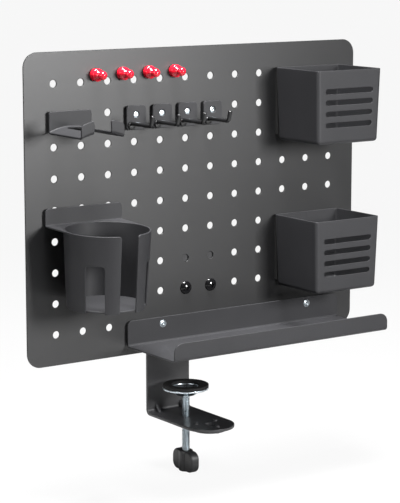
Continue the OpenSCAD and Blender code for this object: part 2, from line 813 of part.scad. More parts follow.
module hook_plate(i) {
    color(dark_coat) at_hook(i) difference() {
        translate([0, -pad_t, 0]) outward() linear_extrude(hook_sheet)
            plate_outline(hook_w, hook_h, hook_corner_r, hook_corner_r);
        translate([0, 0, hook_rivet_h]) rivet_seat(hook_sheet);
    }
}

module hook_rod(i) {
    face = pad_t + hook_sheet;
    turn = 90 - hook_tip_lean;
    straight = hook_reach - hook_bend_r;
    color(black) at_hook(i) translate([-hook_rod_side, 0, hook_rod_h]) {
        translate([0, -face, 0]) outward() cylinder(d = hook_rod_d, h = straight - face);
        translate([0, -straight, hook_bend_r]) rotate([0, 90, 180]) {
            rotate_extrude(angle = turn) translate([hook_bend_r, 0]) circle(d = hook_rod_d);
            rotate(turn) translate([hook_bend_r, -tip_root, 0]) rotate([-90, 0, 0])
                cylinder(d = hook_rod_d - 2 * tip_step, h = hook_tip_l + tip_root);
        }
        translate([0, -face, (hook_rod_d - collar_d) / 2 - collar_over]) outward()
            cylinder(d = collar_d, h = collar_t);
    }
}

module hook_magnet(i) {
    color("#141414") at_hook(i) difference() {
        translate([0, 0, pad_inset]) outward() linear_extrude(pad_t)
            plate_outline(hook_w - 2 * pad_inset, hook_h - 2 * pad_inset, pad_inset, pad_inset);
        translate([0, 0, hook_rivet_h]) rivet_seat(hook_sheet);
    }
}

module hook_rivet(i) {
    color(zinc) at_hook(i) translate([0, 0, hook_rivet_h]) pad_rivet(hook_sheet);
}

// Moves to the panel's face, at a push pin
module at_pin(i) {
    at_hole(pin_cols[i], 0) translate([0, 0, pin_rise]) children();
}

module pin_cap(i) {
    color("#c8202f") at_pin(i) outward() difference() {
        union() {
            cylinder(d = pin_base_d, h = pin_base_h);
            translate([0, 0, pin_base_h]) cylinder(d1 = pin_base_d, d2 = pin_shoulder_d, h = pin_shoulder_h);
            cylinder(d = pin_neck_d, h = pin_ball_h);
            translate([0, 0, pin_ball_h]) sphere(d = pin_ball_d);
        }
        translate([0, 0, -over]) cylinder(d = pin_magnet_d + 2 * press_gap, h = pin_magnet_t + over);
    }
}

module pin_magnet(i) {
    color(zinc) at_pin(i) outward() cylinder(d = pin_magnet_d, h = pin_magnet_t);
}

pegboard();
clamp_bracket();
jaw_pad();
board_screws();
board_nuts();
clamp_nut();
plate_rivets();
spare_nut_plate();
clamp_screw();
screw_knob();
clamp_disc();
disc_rubber();
tray();
tray_magnets();
tray_rivets();
bin(bin_rows[0]);  // bin_upper
bin_magnet(bin_rows[0]);  // bin_upper_magnet
bin(bin_rows[1]);  // bin_lower
bin_magnet(bin_rows[1]);  // bin_lower_magnet
cup_holder();
cup_floor();
cup_magnet();
headset_hanger();
hanger_magnet();
hook_plate(0);  // hook_1_plate
hook_rod(0);  // hook_1_rod
hook_magnet(0);  // hook_1_magnet
hook_rivet(0);  // hook_1_rivet
hook_plate(1);  // hook_2_plate
hook_rod(1);  // hook_2_rod
hook_magnet(1);  // hook_2_magnet
hook_rivet(1);  // hook_2_rivet
hook_plate(2);  // hook_3_plate
hook_rod(2);  // hook_3_rod
hook_magnet(2);  // hook_3_magnet
hook_rivet(2);  // hook_3_rivet
hook_plate(3);  // hook_4_plate
hook_rod(3);  // hook_4_rod
hook_magnet(3);  // hook_4_magnet
hook_rivet(3);  // hook_4_rivet
pin_cap(0);  // pin_1_cap
pin_magnet(0);  // pin_1_magnet
pin_cap(1);  // pin_2_cap
pin_magnet(1);  // pin_2_magnet
pin_cap(2);  // pin_3_cap
pin_magnet(2);  // pin_3_magnet
pin_cap(3);  // pin_4_cap
pin_magnet(3);  // pin_4_magnet
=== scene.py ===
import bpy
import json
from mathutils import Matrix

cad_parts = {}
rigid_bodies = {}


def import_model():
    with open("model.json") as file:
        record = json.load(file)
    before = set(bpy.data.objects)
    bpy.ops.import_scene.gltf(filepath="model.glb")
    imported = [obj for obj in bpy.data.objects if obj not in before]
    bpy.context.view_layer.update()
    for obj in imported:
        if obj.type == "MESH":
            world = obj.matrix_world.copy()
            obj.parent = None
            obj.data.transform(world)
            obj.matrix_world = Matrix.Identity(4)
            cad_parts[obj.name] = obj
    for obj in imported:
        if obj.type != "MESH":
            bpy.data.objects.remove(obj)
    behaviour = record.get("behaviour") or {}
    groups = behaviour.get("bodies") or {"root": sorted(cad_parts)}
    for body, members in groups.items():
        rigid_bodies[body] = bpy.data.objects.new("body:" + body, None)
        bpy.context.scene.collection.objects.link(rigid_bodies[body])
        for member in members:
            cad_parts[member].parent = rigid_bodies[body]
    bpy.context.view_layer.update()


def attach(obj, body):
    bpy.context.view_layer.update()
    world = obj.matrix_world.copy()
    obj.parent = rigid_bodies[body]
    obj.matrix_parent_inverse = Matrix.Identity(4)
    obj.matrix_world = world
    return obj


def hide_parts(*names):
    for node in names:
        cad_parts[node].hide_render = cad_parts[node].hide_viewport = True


bl_info = {
    "name": "Clamp-on pegboard desk organizer",
    "version": (1, 0, 0),
    "blender": (4, 5, 0),
    "location": "3D View > Sidebar > Organizer",
    "description": "Dresses the frame of a magnetic pegboard organizer with folded sheets and finishes",
    "category": "Object",
}

import json
import math

import bmesh
import bpy
from mathutils import Matrix, Vector
from mathutils.geometry import tessellate_polygon

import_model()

MM = 0.001

# Sizes and places of the object in millimetres, as in the part's source. x runs along the
# panel, y from the user to the back, z up; the origin lies under the upper jaw's pad.
FACE = -22.0  # front face of the panel
PAD, PAD_INSET = 2.5, 2.0  # magnet pads between panel and accessories, and how far in they stand
PITCH = 30.0  # of the panel's holes
COLUMNS, ROWS = 12, 9
BOTTOM_ROW = 31.5  # height of the lowest holes

PANEL_T = 1.5
PANEL_HALF, PANEL_LOW, PANEL_HIGH, PANEL_CORNER_R = 197.0, 1.5, 301.5, 14.5
HOLE_R = 3.625

PLATE_T, PLATE_FOLD_R = 3.0, 3.0  # the folded clamp plate
PLATE_HALF, PLATE_TOP, PLATE_TOP_R = 26.0, 105.0, 8.0
THROAT_DEEP, THROAT_H = 31.5, 76.5
TONGUE_TIP = 66.5  # from the clamp screw's axis to the lower plate's round end
JAW_PAD_T, JAW_PAD_SIDE = 2.0, 3.0  # the pad, and how far its sides stand in from the plate's
JAW_PAD_FRONT, JAW_PAD_BACK = -14.5, 25.5
RIB_X, RIB_T, RIB_LEG, RIB_SINK = 15.0, 4.0, 7.7, 0.1
SCREW_HOLE_R = 4.5
SPARE_FROM_TIP, SPARE_NUT_R, SPARE_NUT_T, SPARE_BORE_R = 24.5, 17.5, 3.0, 4.1
PLATE_RIVETS, PLATE_RIVET_RING_R = 3, 13.75

BOLT_X, BOLT_Z, BOLT_HOLE_R = 15.0, 61.5, 3.3  # the two panel screws
BOLT_NUT_AF, BOLT_NUT_H, BOLT_NUT_BORE_R = 10.0, 5.0, 3.05
CLAMP_NUT_AF, CLAMP_NUT_H, CLAMP_NUT_BORE_R = 13.0, 6.5, 4.1

ROD_R, ROD_LOW, ROD_SHOULDER = 4.0, -129.0, -55.6  # the clamp screw, up to its neck
KNOB_LOW, KNOB_HIGH, KNOB_HALF, KNOB_CORNER_R, KNOB_T, KNOB_HUB_R = -134.6, -113.0, 17.75, 8.0, 10.0, 7.3
DISH_Z, DISH_R, RING_T, RING_BORE_R = -46.7, 23.5, 3.0, 14.5

TRAY_COL, TRAY_HALF, TRAY_Z, TRAY_REACH, TRAY_T, TRAY_FOLD_R = 7, 131.25, 9.5, 85.5, 1.6, 2.0
TRAY_BACK_H, TRAY_LIP_H, TRAY_BACK_R, TRAY_LIP_R = 26.5, 18.2, 5.5, 9.0
TRAY_RIVET_SIDE, TRAY_RIVET_H = 90.0, 19.5

BIN_COL, BIN_RISE, BIN_ROWS = 9.98, 4.8, (("upper", 0), ("lower", 5))
BIN_T, BIN_CORNER_R, BIN_H, BIN_RIM_H, BIN_HALF = 1.5, 3.75, 73.5, 2.0, 40.75
BIN_BACK, BIN_FRONT = 2.2, 71.5  # outer walls at the rim, out from the panel
BIN_SIDE_LEAN, BIN_BACK_LEAN, BIN_FRONT_LEAN = 2.2, 2.0, 1.3
BIN_SLOTS, BIN_FIRST_SLOT, BIN_SLOT_PITCH, BIN_SLOT_W, BIN_SLOT_H = 4, 20.7, 11.2, 61.5, 5.2
BIN_BLOCK_HIGH, BIN_BLOCK_LOW, BIN_BLOCK_T = 4.0, 67.75, 77.1  # the magnet block, down from the rim
BIN_BLOCK_DEEP_HIGH, BIN_BLOCK_DEEP_LOW = 2.26, 4.14

CUP_COL, CUP_ROW, CUP_DROP, CUP_SAG = 1, 4, 13.0, 1.8
CUP_T, CUP_H, CUP_REACH, CUP_FOLD_R = 1.6, 74.0, 45.5, 1.0
CUP_RIM_R, CUP_FOOT_R = 41.3, 38.2  # outer radii of the wall
CUP_SLOT_W, CUP_WINDOW_W, CUP_WINDOW_TOP, CUP_CUT_R = 18.2, 18.8, 31.5, 3.0
CUP_WINDOWS = (-41, 221)  # directions of the side windows, in degrees
CUP_FLANGE_HALF, CUP_FLANGE_H, CUP_FLANGE_R = 42.5, 16.0, 4.0
CUP_FLOOR_R, CUP_FLOOR_H = 36.6, 2.6

HANGER_COL, HANGER_ROW, HANGER_DROP = 0.53, 1, 17.0
HANGER_W, HANGER_RISE, HANGER_T, HANGER_FOLD_R, HANGER_R = 46.5, 4.8, 2.0, 1.2, 2.5
HANGER_H, HANGER_REACH, HANGER_LIP_H = 21.3, 62.5, 12.8
HANGER_NOTCH_R, HANGER_NOTCH_BACK = 9.2, 7.5

HOOK_COLS, HOOK_ROW, HOOK_DROP = (3, 4, 5, 6), 1, 3.5
HOOK_HALF, HOOK_H, HOOK_CORNER_R, HOOK_T, HOOK_RIVET_H = 11.0, 23.5, 3.25, 1.8, 14.6
HOOK_ROD_R, HOOK_ROD_SIDE, HOOK_ROD_H = 2.0, 6.0, 6.4
HOOK_BEND_OUT, HOOK_BEND_R, HOOK_TIP_LEAN = 36.0, 4.0, 17  # the bend starts that far from the panel

PIN_COLS, PIN_RISE = (1.55, 2.55, 3.55, 4.55), 6.5
PIN_H, PIN_BALL_R, PIN_MAGNET_R, PIN_MAGNET_T, PIN_MAGNET_GAP = 17.5, 4.25, 4.0, 2.5, 0.05


def col_x(c):
    return (c - (COLUMNS - 1) / 2) * PITCH


def row_z(r):
    return BOTTOM_ROW + (ROWS - 1 - r) * PITCH


def srgb(code):
    """Linear colour of an sRGB hex value."""
    out = []
    for i in (0, 2, 4):
        c = int(code[i : i + 2], 16) / 255
        out.append(c / 12.92 if c <= 0.04045 else ((c + 0.055) / 1.055) ** 2.4)
    return (*out, 1.0)


# ---- settings a user would change


class OrganizerFinish(bpy.types.PropertyGroup):
    coat: bpy.props.FloatVectorProperty(
        name="Powder coat", description="Colour of the coated sheet", subtype="COLOR",
        size=4, min=0, max=1, default=srgb("252527"))
    board: bpy.props.FloatVectorProperty(
        name="Panel coat", description="Colour of the panel's glossier coat", subtype="COLOR",
        size=4, min=0, max=1, default=srgb("141415"))
    clamp_coat: bpy.props.FloatVectorProperty(
        name="Clamp coat", description="Colour of the coated clamp plate", subtype="COLOR",
        size=4, min=0, max=1, default=srgb("222224"))
    pin: bpy.props.FloatVectorProperty(
        name="Push pins", description="Colour of the push pins", subtype="COLOR",
        size=4, min=0, max=1, default=srgb("c4182a"))
    zinc: bpy.props.FloatVectorProperty(
        name="Zinc plate", description="Colour of the zinc-plated clamp screw and dish", subtype="COLOR",
        size=4, min=0, max=1, default=srgb("c3ccd2"))
    knob: bpy.props.FloatVectorProperty(
        name="Knob", description="Colour of the moulded knob", subtype="COLOR",
        size=4, min=0, max=1, default=srgb("242425"))


class OrganizerSizes(bpy.types.PropertyGroup):
    edge: bpy.props.FloatProperty(
        name="Edge rounding", description="Rounding of the coated sheet edges",
        default=0.0004, min=0.0001, max=0.0006, subtype="DISTANCE", unit="LENGTH", precision=5)
    thread_pitch: bpy.props.FloatProperty(
        name="Thread pitch", description="Travel of the clamp screw in one turn",
        default=0.00125, min=0.001, max=0.002, subtype="DISTANCE", unit="LENGTH", precision=5)
    thread_depth: bpy.props.FloatProperty(
        name="Thread depth", description="Depth of the clamp screw's thread",
        default=0.00062, min=0.0003, max=0.0008, subtype="DISTANCE", unit="LENGTH", precision=5)


def finish():
    return bpy.context.scene.organizer_finish


def sizes():
    return bpy.context.scene.organizer_sizes


# ---- materials


def add_node(tree, kind, values=None, links=None, **settings):
    """Adds one node with its settings, socket values and links from other sockets."""
    node = tree.nodes.new(kind)
    for key, value in settings.items():
        setattr(node, key, value)
    for key, value in (values or {}).items():
        node.inputs[key].default_value = value
    for key, socket in (links or {}).items():
        tree.links.new(socket, node.inputs[key])
    return node


def blank(name):
    """A new material with an empty node tree and its output."""
    mat = bpy.data.materials.new(name)
    mat.use_nodes = True
    mat.node_tree.nodes.clear()
    return mat, mat.node_tree


def scale_of(size_mm):
    """Texture scale at which one cell of a pattern is that many millimetres."""
    return 1.0 / (size_mm * MM)


def close(tree, shader):
    add_node(tree, "ShaderNodeOutputMaterial", links={"Surface": shader.outputs[0]})


def noise(tree, cell_mm, detail, **more):
    """Noise that sits in the object's own space, with cells of that many millimetres."""
    where = add_node(tree, "ShaderNodeTexCoord")
    return add_node(
        tree, "ShaderNodeTexNoise", {"Scale": scale_of(cell_mm), "Detail": detail, **more},
        {"Vector": where.outputs["Object"]})


def varied(tree, texture, low, high):
    """The middle part of a texture, spread from low to high."""
    return add_node(
        tree, "ShaderNodeMapRange", {"From Min": 0.3, "From Max": 0.7, "To Min": low, "To Max": high},
        {"Value": texture.outputs["Fac"]}).outputs["Result"]


def tinted(tree, colour, amount):
    """A colour made lighter or darker by an amount about 1."""
    scaled = add_node(tree, "ShaderNodeVectorMath", {0: colour[:3]}, {"Scale": amount}, operation="SCALE")
    return scaled.outputs["Vector"]


def raised(tree, texture, strength, depth_mm):
    """The normal of a surface that a texture raises by that many millimetres."""
    return add_node(
        tree, "ShaderNodeBump", {"Strength": strength, "Distance": depth_mm * MM},
        {"Height": texture.outputs["Fac"]}).outputs["Normal"]


def surface(tree, values, links):
    close(tree, add_node(tree, "ShaderNodeBsdfPrincipled", values, links))


def powder_coated_steel(name, colour, roughness, gloss=0.5, grain_mm=0.8, peel=0.12):
    """Powder-coated steel, sprayed and baked: an even satin black with the fine orange peel of
    the melted powder. The eye sees soft broad highlights that break up slightly, and a colour
    that varies by a few percent where the coat is thicker."""
    mat, tree = blank(name)
    orange_peel = noise(tree, grain_mm, 3.0, Roughness=0.55)
    thickness = noise(tree, 45, 2.0)
    surface(tree, {"IOR": 1.5, "Specular IOR Level": gloss}, {
        "Base Color": tinted(tree, colour, varied(tree, thickness, 0.92, 1.08)),
        "Roughness": varied(tree, orange_peel, roughness - 0.03, roughness + 0.03),
        "Normal": raised(tree, orange_peel, peel, 0.05)})
    return mat


def lacquered_steel(name, colour, roughness):
    """Black-lacquered steel, dipped: the glossy screws and the hooks' rods. The eye sees a deep
    black with small sharp highlights, softened a little where the lacquer sags."""
    mat, tree = blank(name)
    surface(tree, {"Base Color": colour, "Roughness": roughness, "IOR": 1.52}, {
        "Normal": raised(tree, noise(tree, 3, 1.0), 0.06, 0.1)})
    return mat


def zinc_plated_steel(name, colour, roughness, ring_mm=None):
    """Zinc-plated steel with a clear blue passivation, turned or pressed and then plated. The
    eye sees a bluish grey metal with soft streaks; a turned face keeps fine rings, drawn here
    at the coarse spacing that still shows."""
    mat, tree = blank(name)
    blotch = noise(tree, 6, 3.0)
    links = {
        "Base Color": tinted(tree, colour, varied(tree, blotch, 0.86, 1.04)),
        "Roughness": varied(tree, blotch, roughness - 0.06, roughness + 0.06)}
    if ring_mm:
        where = add_node(tree, "ShaderNodeTexCoord")
        waves_per_unit = 20
        rings = add_node(
            tree, "ShaderNodeTexWave",
            {"Scale": scale_of(ring_mm) / waves_per_unit, "Distortion": 0.4, "Detail": 1.0},
            {"Vector": where.outputs["Object"]}, wave_type="RINGS", rings_direction="Z")
        links["Normal"] = raised(tree, rings, 0.08, 0.05)
    surface(tree, {"Metallic": 1.0}, links)
    return mat


def moulded_plastic(name, colour, roughness, grain_mm, depth):
    """Moulded plastic: black glass-filled nylon on the knob with the spark-eroded grain of its
    mould, or glossy red polystyrene on the push pins with almost none. The eye sees an even
    colour under a soft or a sharp highlight."""
    mat, tree = blank(name)
    surface(tree, {"Base Color": colour, "Roughness": roughness, "IOR": 1.53}, {
        "Normal": raised(tree, noise(tree, grain_mm, 4.0, Roughness=0.6), depth, 0.08)})
    return mat


def rubber(name, colour, roughness, grain_mm):
    """Vulcanised rubber or magnet rubber, pressed or calendered: dead black and matt, with a
    dusty grain that only shows where light rakes over it."""
    mat, tree = blank(name)
    surface(
        tree, {"Base Color": colour, "Roughness": roughness, "IOR": 1.52, "Specular IOR Level": 0.3},
        {"Normal": raised(tree, noise(tree, grain_mm, 2.0), 0.25, 0.08)})
    return mat


MATS = {}


def materials():
    """Makes each finish once and returns them by name."""
    if not MATS:
        f = finish()
        MATS["coat"] = powder_coated_steel("powder_coated_steel_sheet", tuple(f.coat), 0.55, 0.25)
        MATS["board"] = powder_coated_steel("powder_coated_steel_panel", tuple(f.board), 0.44)
        MATS["clamp"] = powder_coated_steel("powder_coated_steel_clamp", tuple(f.clamp_coat), 0.45)
        MATS["screws"] = lacquered_steel("black_lacquered_steel_screws", srgb("0d0d0e"), 0.14)
        MATS["rod"] = lacquered_steel("black_lacquered_steel_wire", srgb("141415"), 0.3)
        MATS["zinc"] = zinc_plated_steel("zinc_plated_steel_turned", tuple(f.zinc), 0.3, 0.6)
        MATS["thread"] = zinc_plated_steel("zinc_plated_steel_rolled_thread", tuple(f.zinc), 0.32)
        MATS["knob"] = moulded_plastic("glass_filled_nylon_moulded", tuple(f.knob), 0.42, 0.5, 0.25)
        MATS["pin"] = moulded_plastic("polystyrene_glossy_moulded", tuple(f.pin), 0.16, 6.0, 0.03)
        MATS["rubber"] = rubber("vulcanised_rubber_pressed", srgb("0b0b0b"), 0.75, 0.4)
        # Black magnet rubber for the pads, the bin blocks and the jaw cushion. On the pads and blocks the
        # dead black is partly painted shade for the narrow gaps between the panel and the accessories.
        MATS["pad"] = rubber("black_magnet_rubber_and_gap_shade", srgb("121212"), 0.7, 0.6)
        MATS["nickel"] = zinc_plated_steel("nickel_plated_magnet", srgb("d0cdc6"), 0.2)
    return MATS


# ---- shapes, all in millimetres until the mesh is made


def arc(cx, cy, r, start, turn=90, steps=5):
    """Points on an arc about (cx, cy) from one direction, turning by an angle in degrees."""
    angles = [math.radians(start + turn * i / steps) for i in range(steps + 1)]
    return [(cx + r * math.cos(a), cy + r * math.sin(a)) for a in angles]


def rounded_outline(x0, x1, y0, y1, radii, steps=8):
    """Counter-clockwise rectangle with its own radius at each corner, lower left first."""
    a, b, c, d = radii
    return [*arc(x0 + a, y0 + a, a, 180, 90, steps), *arc(x1 - b, y0 + b, b, 270, 90, steps),
            *arc(x1 - c, y1 - c, c, 0, 90, steps), *arc(x0 + d, y1 - d, d, 90, 90, steps)]


def ring_outline(cx, cy, r, n=32):
    return arc(cx, cy, r, 0, 360, n)[:-1]


def slot_outline(cx, cy, w, h, steps=8):
    nearly_half = h / 2 * 0.999
    return rounded_outline(cx - w / 2, cx + w / 2, cy - h / 2, cy + h / 2, (nearly_half,) * 4, steps)


def sheet(loops, t, edge, steps=3, seam=()):
    """Flat sheet with rounded edges from an outline and its holes. A vertex is (u, v, w), with w
    0 on the front face and t on the back. Along a seam, given as (axis, value), it stays open."""
    bm = bmesh.new()
    levels = [(edge * (1 - math.sin(a)), edge * (1 - math.cos(a)))
              for a in (math.pi / 2 * i / steps for i in range(steps + 1))]
    levels += [(inset, t - w) for inset, w in reversed(levels)]

    def on_seam(p, q=None):
        return [k for k, value in seam
                if abs(p[k] - value) < 1e-6 and (q is None or abs(q[k] - value) < 1e-6)]

    fronts, backs = [], []
    for k, loop in enumerate(loops):
        pts = [Vector(p) for p in (loop if k == 0 else loop[::-1])]
        n = len(pts)
        inward = []
        for i in range(n):
            d1 = (pts[i] - pts[i - 1]).normalized()
            d2 = (pts[(i + 1) % n] - pts[i]).normalized()
            n1, n2 = Vector((-d1.y, d1.x)), Vector((-d2.y, d2.x))
            step = (n1 + n2) / max(0.3, 1 + n1.dot(n2))
            for axis in on_seam(pts[i]):
                step[axis] = 0.0
            inward.append(step)
        rings = [[bm.verts.new((*(p + m * inset), w)) for p, m in zip(pts, inward)] for inset, w in levels]
        for a, b in zip(rings, rings[1:]):
            for i in range(n):
                j = (i + 1) % n
                if not on_seam(pts[i], pts[j]):
                    bm.faces.new((a[i], a[j], b[j], b[i]))
        fronts.append(rings[0])
        backs.append(rings[-1])
    for rims in (fronts, backs):
        flat = [v for ring in rims for v in ring]
        for tri in tessellate_polygon([[v.co for v in ring] for ring in rims]):
            corners = [flat[i] for i in tri]
            a, b, c = (v.co for v in corners)
            if (b - a).cross(c - a).length > 1e-9:
                bm.faces.new(corners)
    return bm


def cut(bm, axis, values):
    """Cuts a flat sheet across at each value of u (axis 0) or v (axis 1), so that it can bend there."""
    normal = Vector((1, 0, 0)) if axis == 0 else Vector((0, 1, 0))
    for value in values:
        whole = bm.verts[:] + bm.edges[:] + bm.faces[:]
        bmesh.ops.bisect_plane(bm, geom=whole, dist=1e-5, plane_co=normal * value, plane_no=normal)


def bend(bm, place):
    """Moves every vertex (u, v, w) to where place puts it."""
    for v in bm.verts:
        v.co = Vector(place(*v.co))


def fold_path(start, heading, t, parts, steps=6):
    """Profile of a folded sheet in a plane. It follows the face w = 0, with the sheet to the left
    of the way it goes. Parts are lengths, or (inner radius, degrees), positive to the left.
    Returns its length, the places to cut, and the function from (s, w) to the plane."""
    spans, cuts, s = [], [], 0.0
    p, angle = Vector(start), math.radians(heading)
    for part in parts:
        d = Vector((math.cos(angle), math.sin(angle)))
        left = Vector((-d.y, d.x))
        if isinstance(part, tuple):
            inner, turn = part[0], math.radians(part[1])
            side = 1 if turn > 0 else -1
            r = inner + t if side > 0 else inner
            length = r * abs(turn)
            spans.append((s, s + length, p.copy(), d, left, r, side))
            cuts += [s + length * i / steps for i in range(steps + 1)]
            centre = p + left * side * r
            arm = Matrix.Rotation(turn, 2) @ (p - centre)
            p, angle, s = centre + arm, angle + turn, s + length
        else:
            spans.append((s, s + part, p.copy(), d, left, None, 0))
            p, s = p + d * part, s + part

    def place(at, w):
        span = spans[-1]
        for one in spans:
            if at <= one[1] + 1e-9:
                span = one
                break
        s0, _, origin, d, left, r, side = span
        if r is None:
            return origin + d * (at - s0) + left * w
        centre = origin + left * side * r
        arm = Matrix.Rotation(side * (at - s0) / r, 2) @ (-left * side)
        return centre + arm * (r - side * w)

    return s, cuts, place


def skin(bm, rows, steps):
    """Faces between rows of vertices that go round an axis; a row of one vertex is a pole."""
    for a, b in zip(rows, rows[1:]):
        for i in range(steps):
            j = (i + 1) % steps
            corners = [a[i % len(a)], a[j % len(a)], b[j % len(b)], b[i % len(b)]]
            face = list(dict.fromkeys(corners))
            if len(face) > 2:
                bm.faces.new(face)


def lathe(profile, steps=48):
    """Turned form about the third axis from (radius, height) points, closed at the axis."""
    bm = bmesh.new()
    rows = []
    for r, h in profile:
        if r < 1e-6:
            rows.append([bm.verts.new((0, 0, h))])
        else:
            rows.append([bm.verts.new((a, b, h)) for a, b in ring_outline(0, 0, r, steps)])
    skin(bm, rows, steps)
    return bm


def rounded_profile(points, radius, steps=4):
    """Profile points with each inner corner rounded by up to radius; the ends stay."""
    out = [points[0]]
    for a, b, c in zip(points, points[1:], points[2:]):
        a, b, c = Vector(a), Vector(b), Vector(c)
        u, v = (a - b), (c - b)
        reach = min(radius, u.length * 0.45, v.length * 0.45)
        if reach < 1e-6 or u.normalized().dot(v.normalized()) < -0.999:
            out.append(tuple(b))
            continue
        p, q = b + u.normalized() * reach, b + v.normalized() * reach
        for i in range(steps + 1):
            k = i / steps
            out.append(tuple(p * (1 - k) ** 2 + b * 2 * k * (1 - k) + q * k ** 2))
    out.append(points[-1])
    return out


def tube(points, radius, steps=20, caps=4):
    """Round wire along a smooth line of points, with domed ends."""
    pts = [Vector(p) for p in points]
    tangents = []
    for i, p in enumerate(pts):
        a, b = pts[max(i - 1, 0)], pts[min(i + 1, len(pts) - 1)]
        tangents.append((b - a).normalized())
    dome = [math.pi / 2 * k / caps for k in range(caps)]
    reach = radius * 0.5
    rings = [(pts[0] - tangents[0] * reach * math.cos(a), tangents[0], radius * math.sin(a)) for a in dome]
    rings += [(p, d, radius) for p, d in zip(pts, tangents)]
    rings += [(pts[-1] + tangents[-1] * reach * math.cos(a), tangents[-1], radius * math.sin(a))
              for a in reversed(dome)]
    bm = bmesh.new()
    rows = []
    side = Vector((1, 0, 0))
    for centre, d, r in rings:
        side = (side - d * side.dot(d)).normalized()
        other = d.cross(side)
        if r < 1e-6:
            rows.append([bm.verts.new(centre)])
        else:
            circle = ring_outline(0, 0, r, steps)
            rows.append([bm.verts.new(centre + side * a + other * b) for a, b in circle])
    skin(bm, rows, steps)
    return bm


def join(*forms):
    """One bmesh from several."""
    whole = forms[0]
    for form in forms[1:]:
        spare = bpy.data.meshes.new("spare")
        form.to_mesh(spare)
        whole.from_mesh(spare)
        bpy.data.meshes.remove(spare)
        form.free()
    return whole


def outward(x, y, z):
    """Places (a, b, h): a to the right, b up, h out from the panel towards the user."""
    return lambda a, b, h: (x + a, y - h, z + b)


def piece(name, bm, body, mat, replaced=(), smooth=40, weld=0.0005):
    """Turns a form into an object that rides on its body and stands for its CAD nodes."""
    bmesh.ops.remove_doubles(bm, verts=bm.verts, dist=weld)
    bmesh.ops.recalc_face_normals(bm, faces=bm.faces)
    bmesh.ops.scale(bm, vec=(MM, MM, MM), verts=bm.verts)
    mesh = bpy.data.meshes.new(name)
    bm.to_mesh(mesh)
    bm.free()
    mesh.shade_smooth()
    mesh.set_sharp_from_angle(angle=math.radians(smooth))
    mesh.materials.append(mat)
    obj = bpy.data.objects.new(name, mesh)
    bpy.context.scene.collection.objects.link(obj)
    even = obj.modifiers.new("even_normals", "WEIGHTED_NORMAL")
    even.keep_sharp = True
    even.weight = 100
    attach(obj, body)
    if replaced:
        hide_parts(*replaced)
    return obj


def flat_part(loops, t, edge, x, front, z, steps=3):
    """A sheet that stands parallel to the panel, its front face at y = front."""
    bm = sheet(loops, t, edge, steps)
    bend(bm, lambda u, v, w: (x + u, front + w, z + v))
    return bm


def magnet_pad(name, body, node, x, z, half, low, high, corners, steps=5):
    """Magnet sheet between the panel and an accessory that stands at x and z."""
    # The pad stands for a real magnet, and its black is partly painted shade for the gap behind the
    # accessory.
    outline = rounded_outline(-half, half, low, high, corners, steps)
    bm = flat_part([outline], PAD, 0.25, x, FACE - PAD, z)
    return piece(name, bm, body, materials()["pad"], [node])


def rivet_form(x, front, z, head_d=6.4, head_h=0.5, shank_d=3.0, length=2.4):
    """Pad rivet: a low dome with a dimple in its seat, and its shank back to the panel."""
    r = head_d / 2
    profile = [(0, head_h * 0.4), (0.5, head_h * 0.45), (1.0, head_h), (r * 0.6, head_h * 0.9),
               (r * 0.9, head_h * 0.45), (r, 0.0), (shank_d / 2, 0.0), (shank_d / 2, -length), (0, -length)]
    bm = lathe(rounded_profile(profile, 0.2), 32)
    bend(bm, outward(x, front, z))
    return bm


# ---- operators, one for each piece or group


class ORGANIZER_OT_panel(bpy.types.Operator):
    """Make the punched steel panel with its soft-edged holes"""
    bl_idname = "organizer.panel"
    bl_label = "Pegboard panel"

    def execute(self, context):
        m, edge = materials(), sizes().edge / MM
        corners = (PANEL_CORNER_R,) * 4
        loops = [rounded_outline(-PANEL_HALF, PANEL_HALF, PANEL_LOW, PANEL_HIGH, corners, 12)]
        loops += [ring_outline(col_x(c), row_z(r), HOLE_R, 28) for c in range(COLUMNS) for r in range(ROWS)]
        bm = sheet(loops, PANEL_T, edge * 0.9)
        bend(bm, lambda u, v, w: (u, FACE + w, v))
        piece("panel_sheet", bm, "base", m["board"], ["pegboard"])
        return {"FINISHED"}


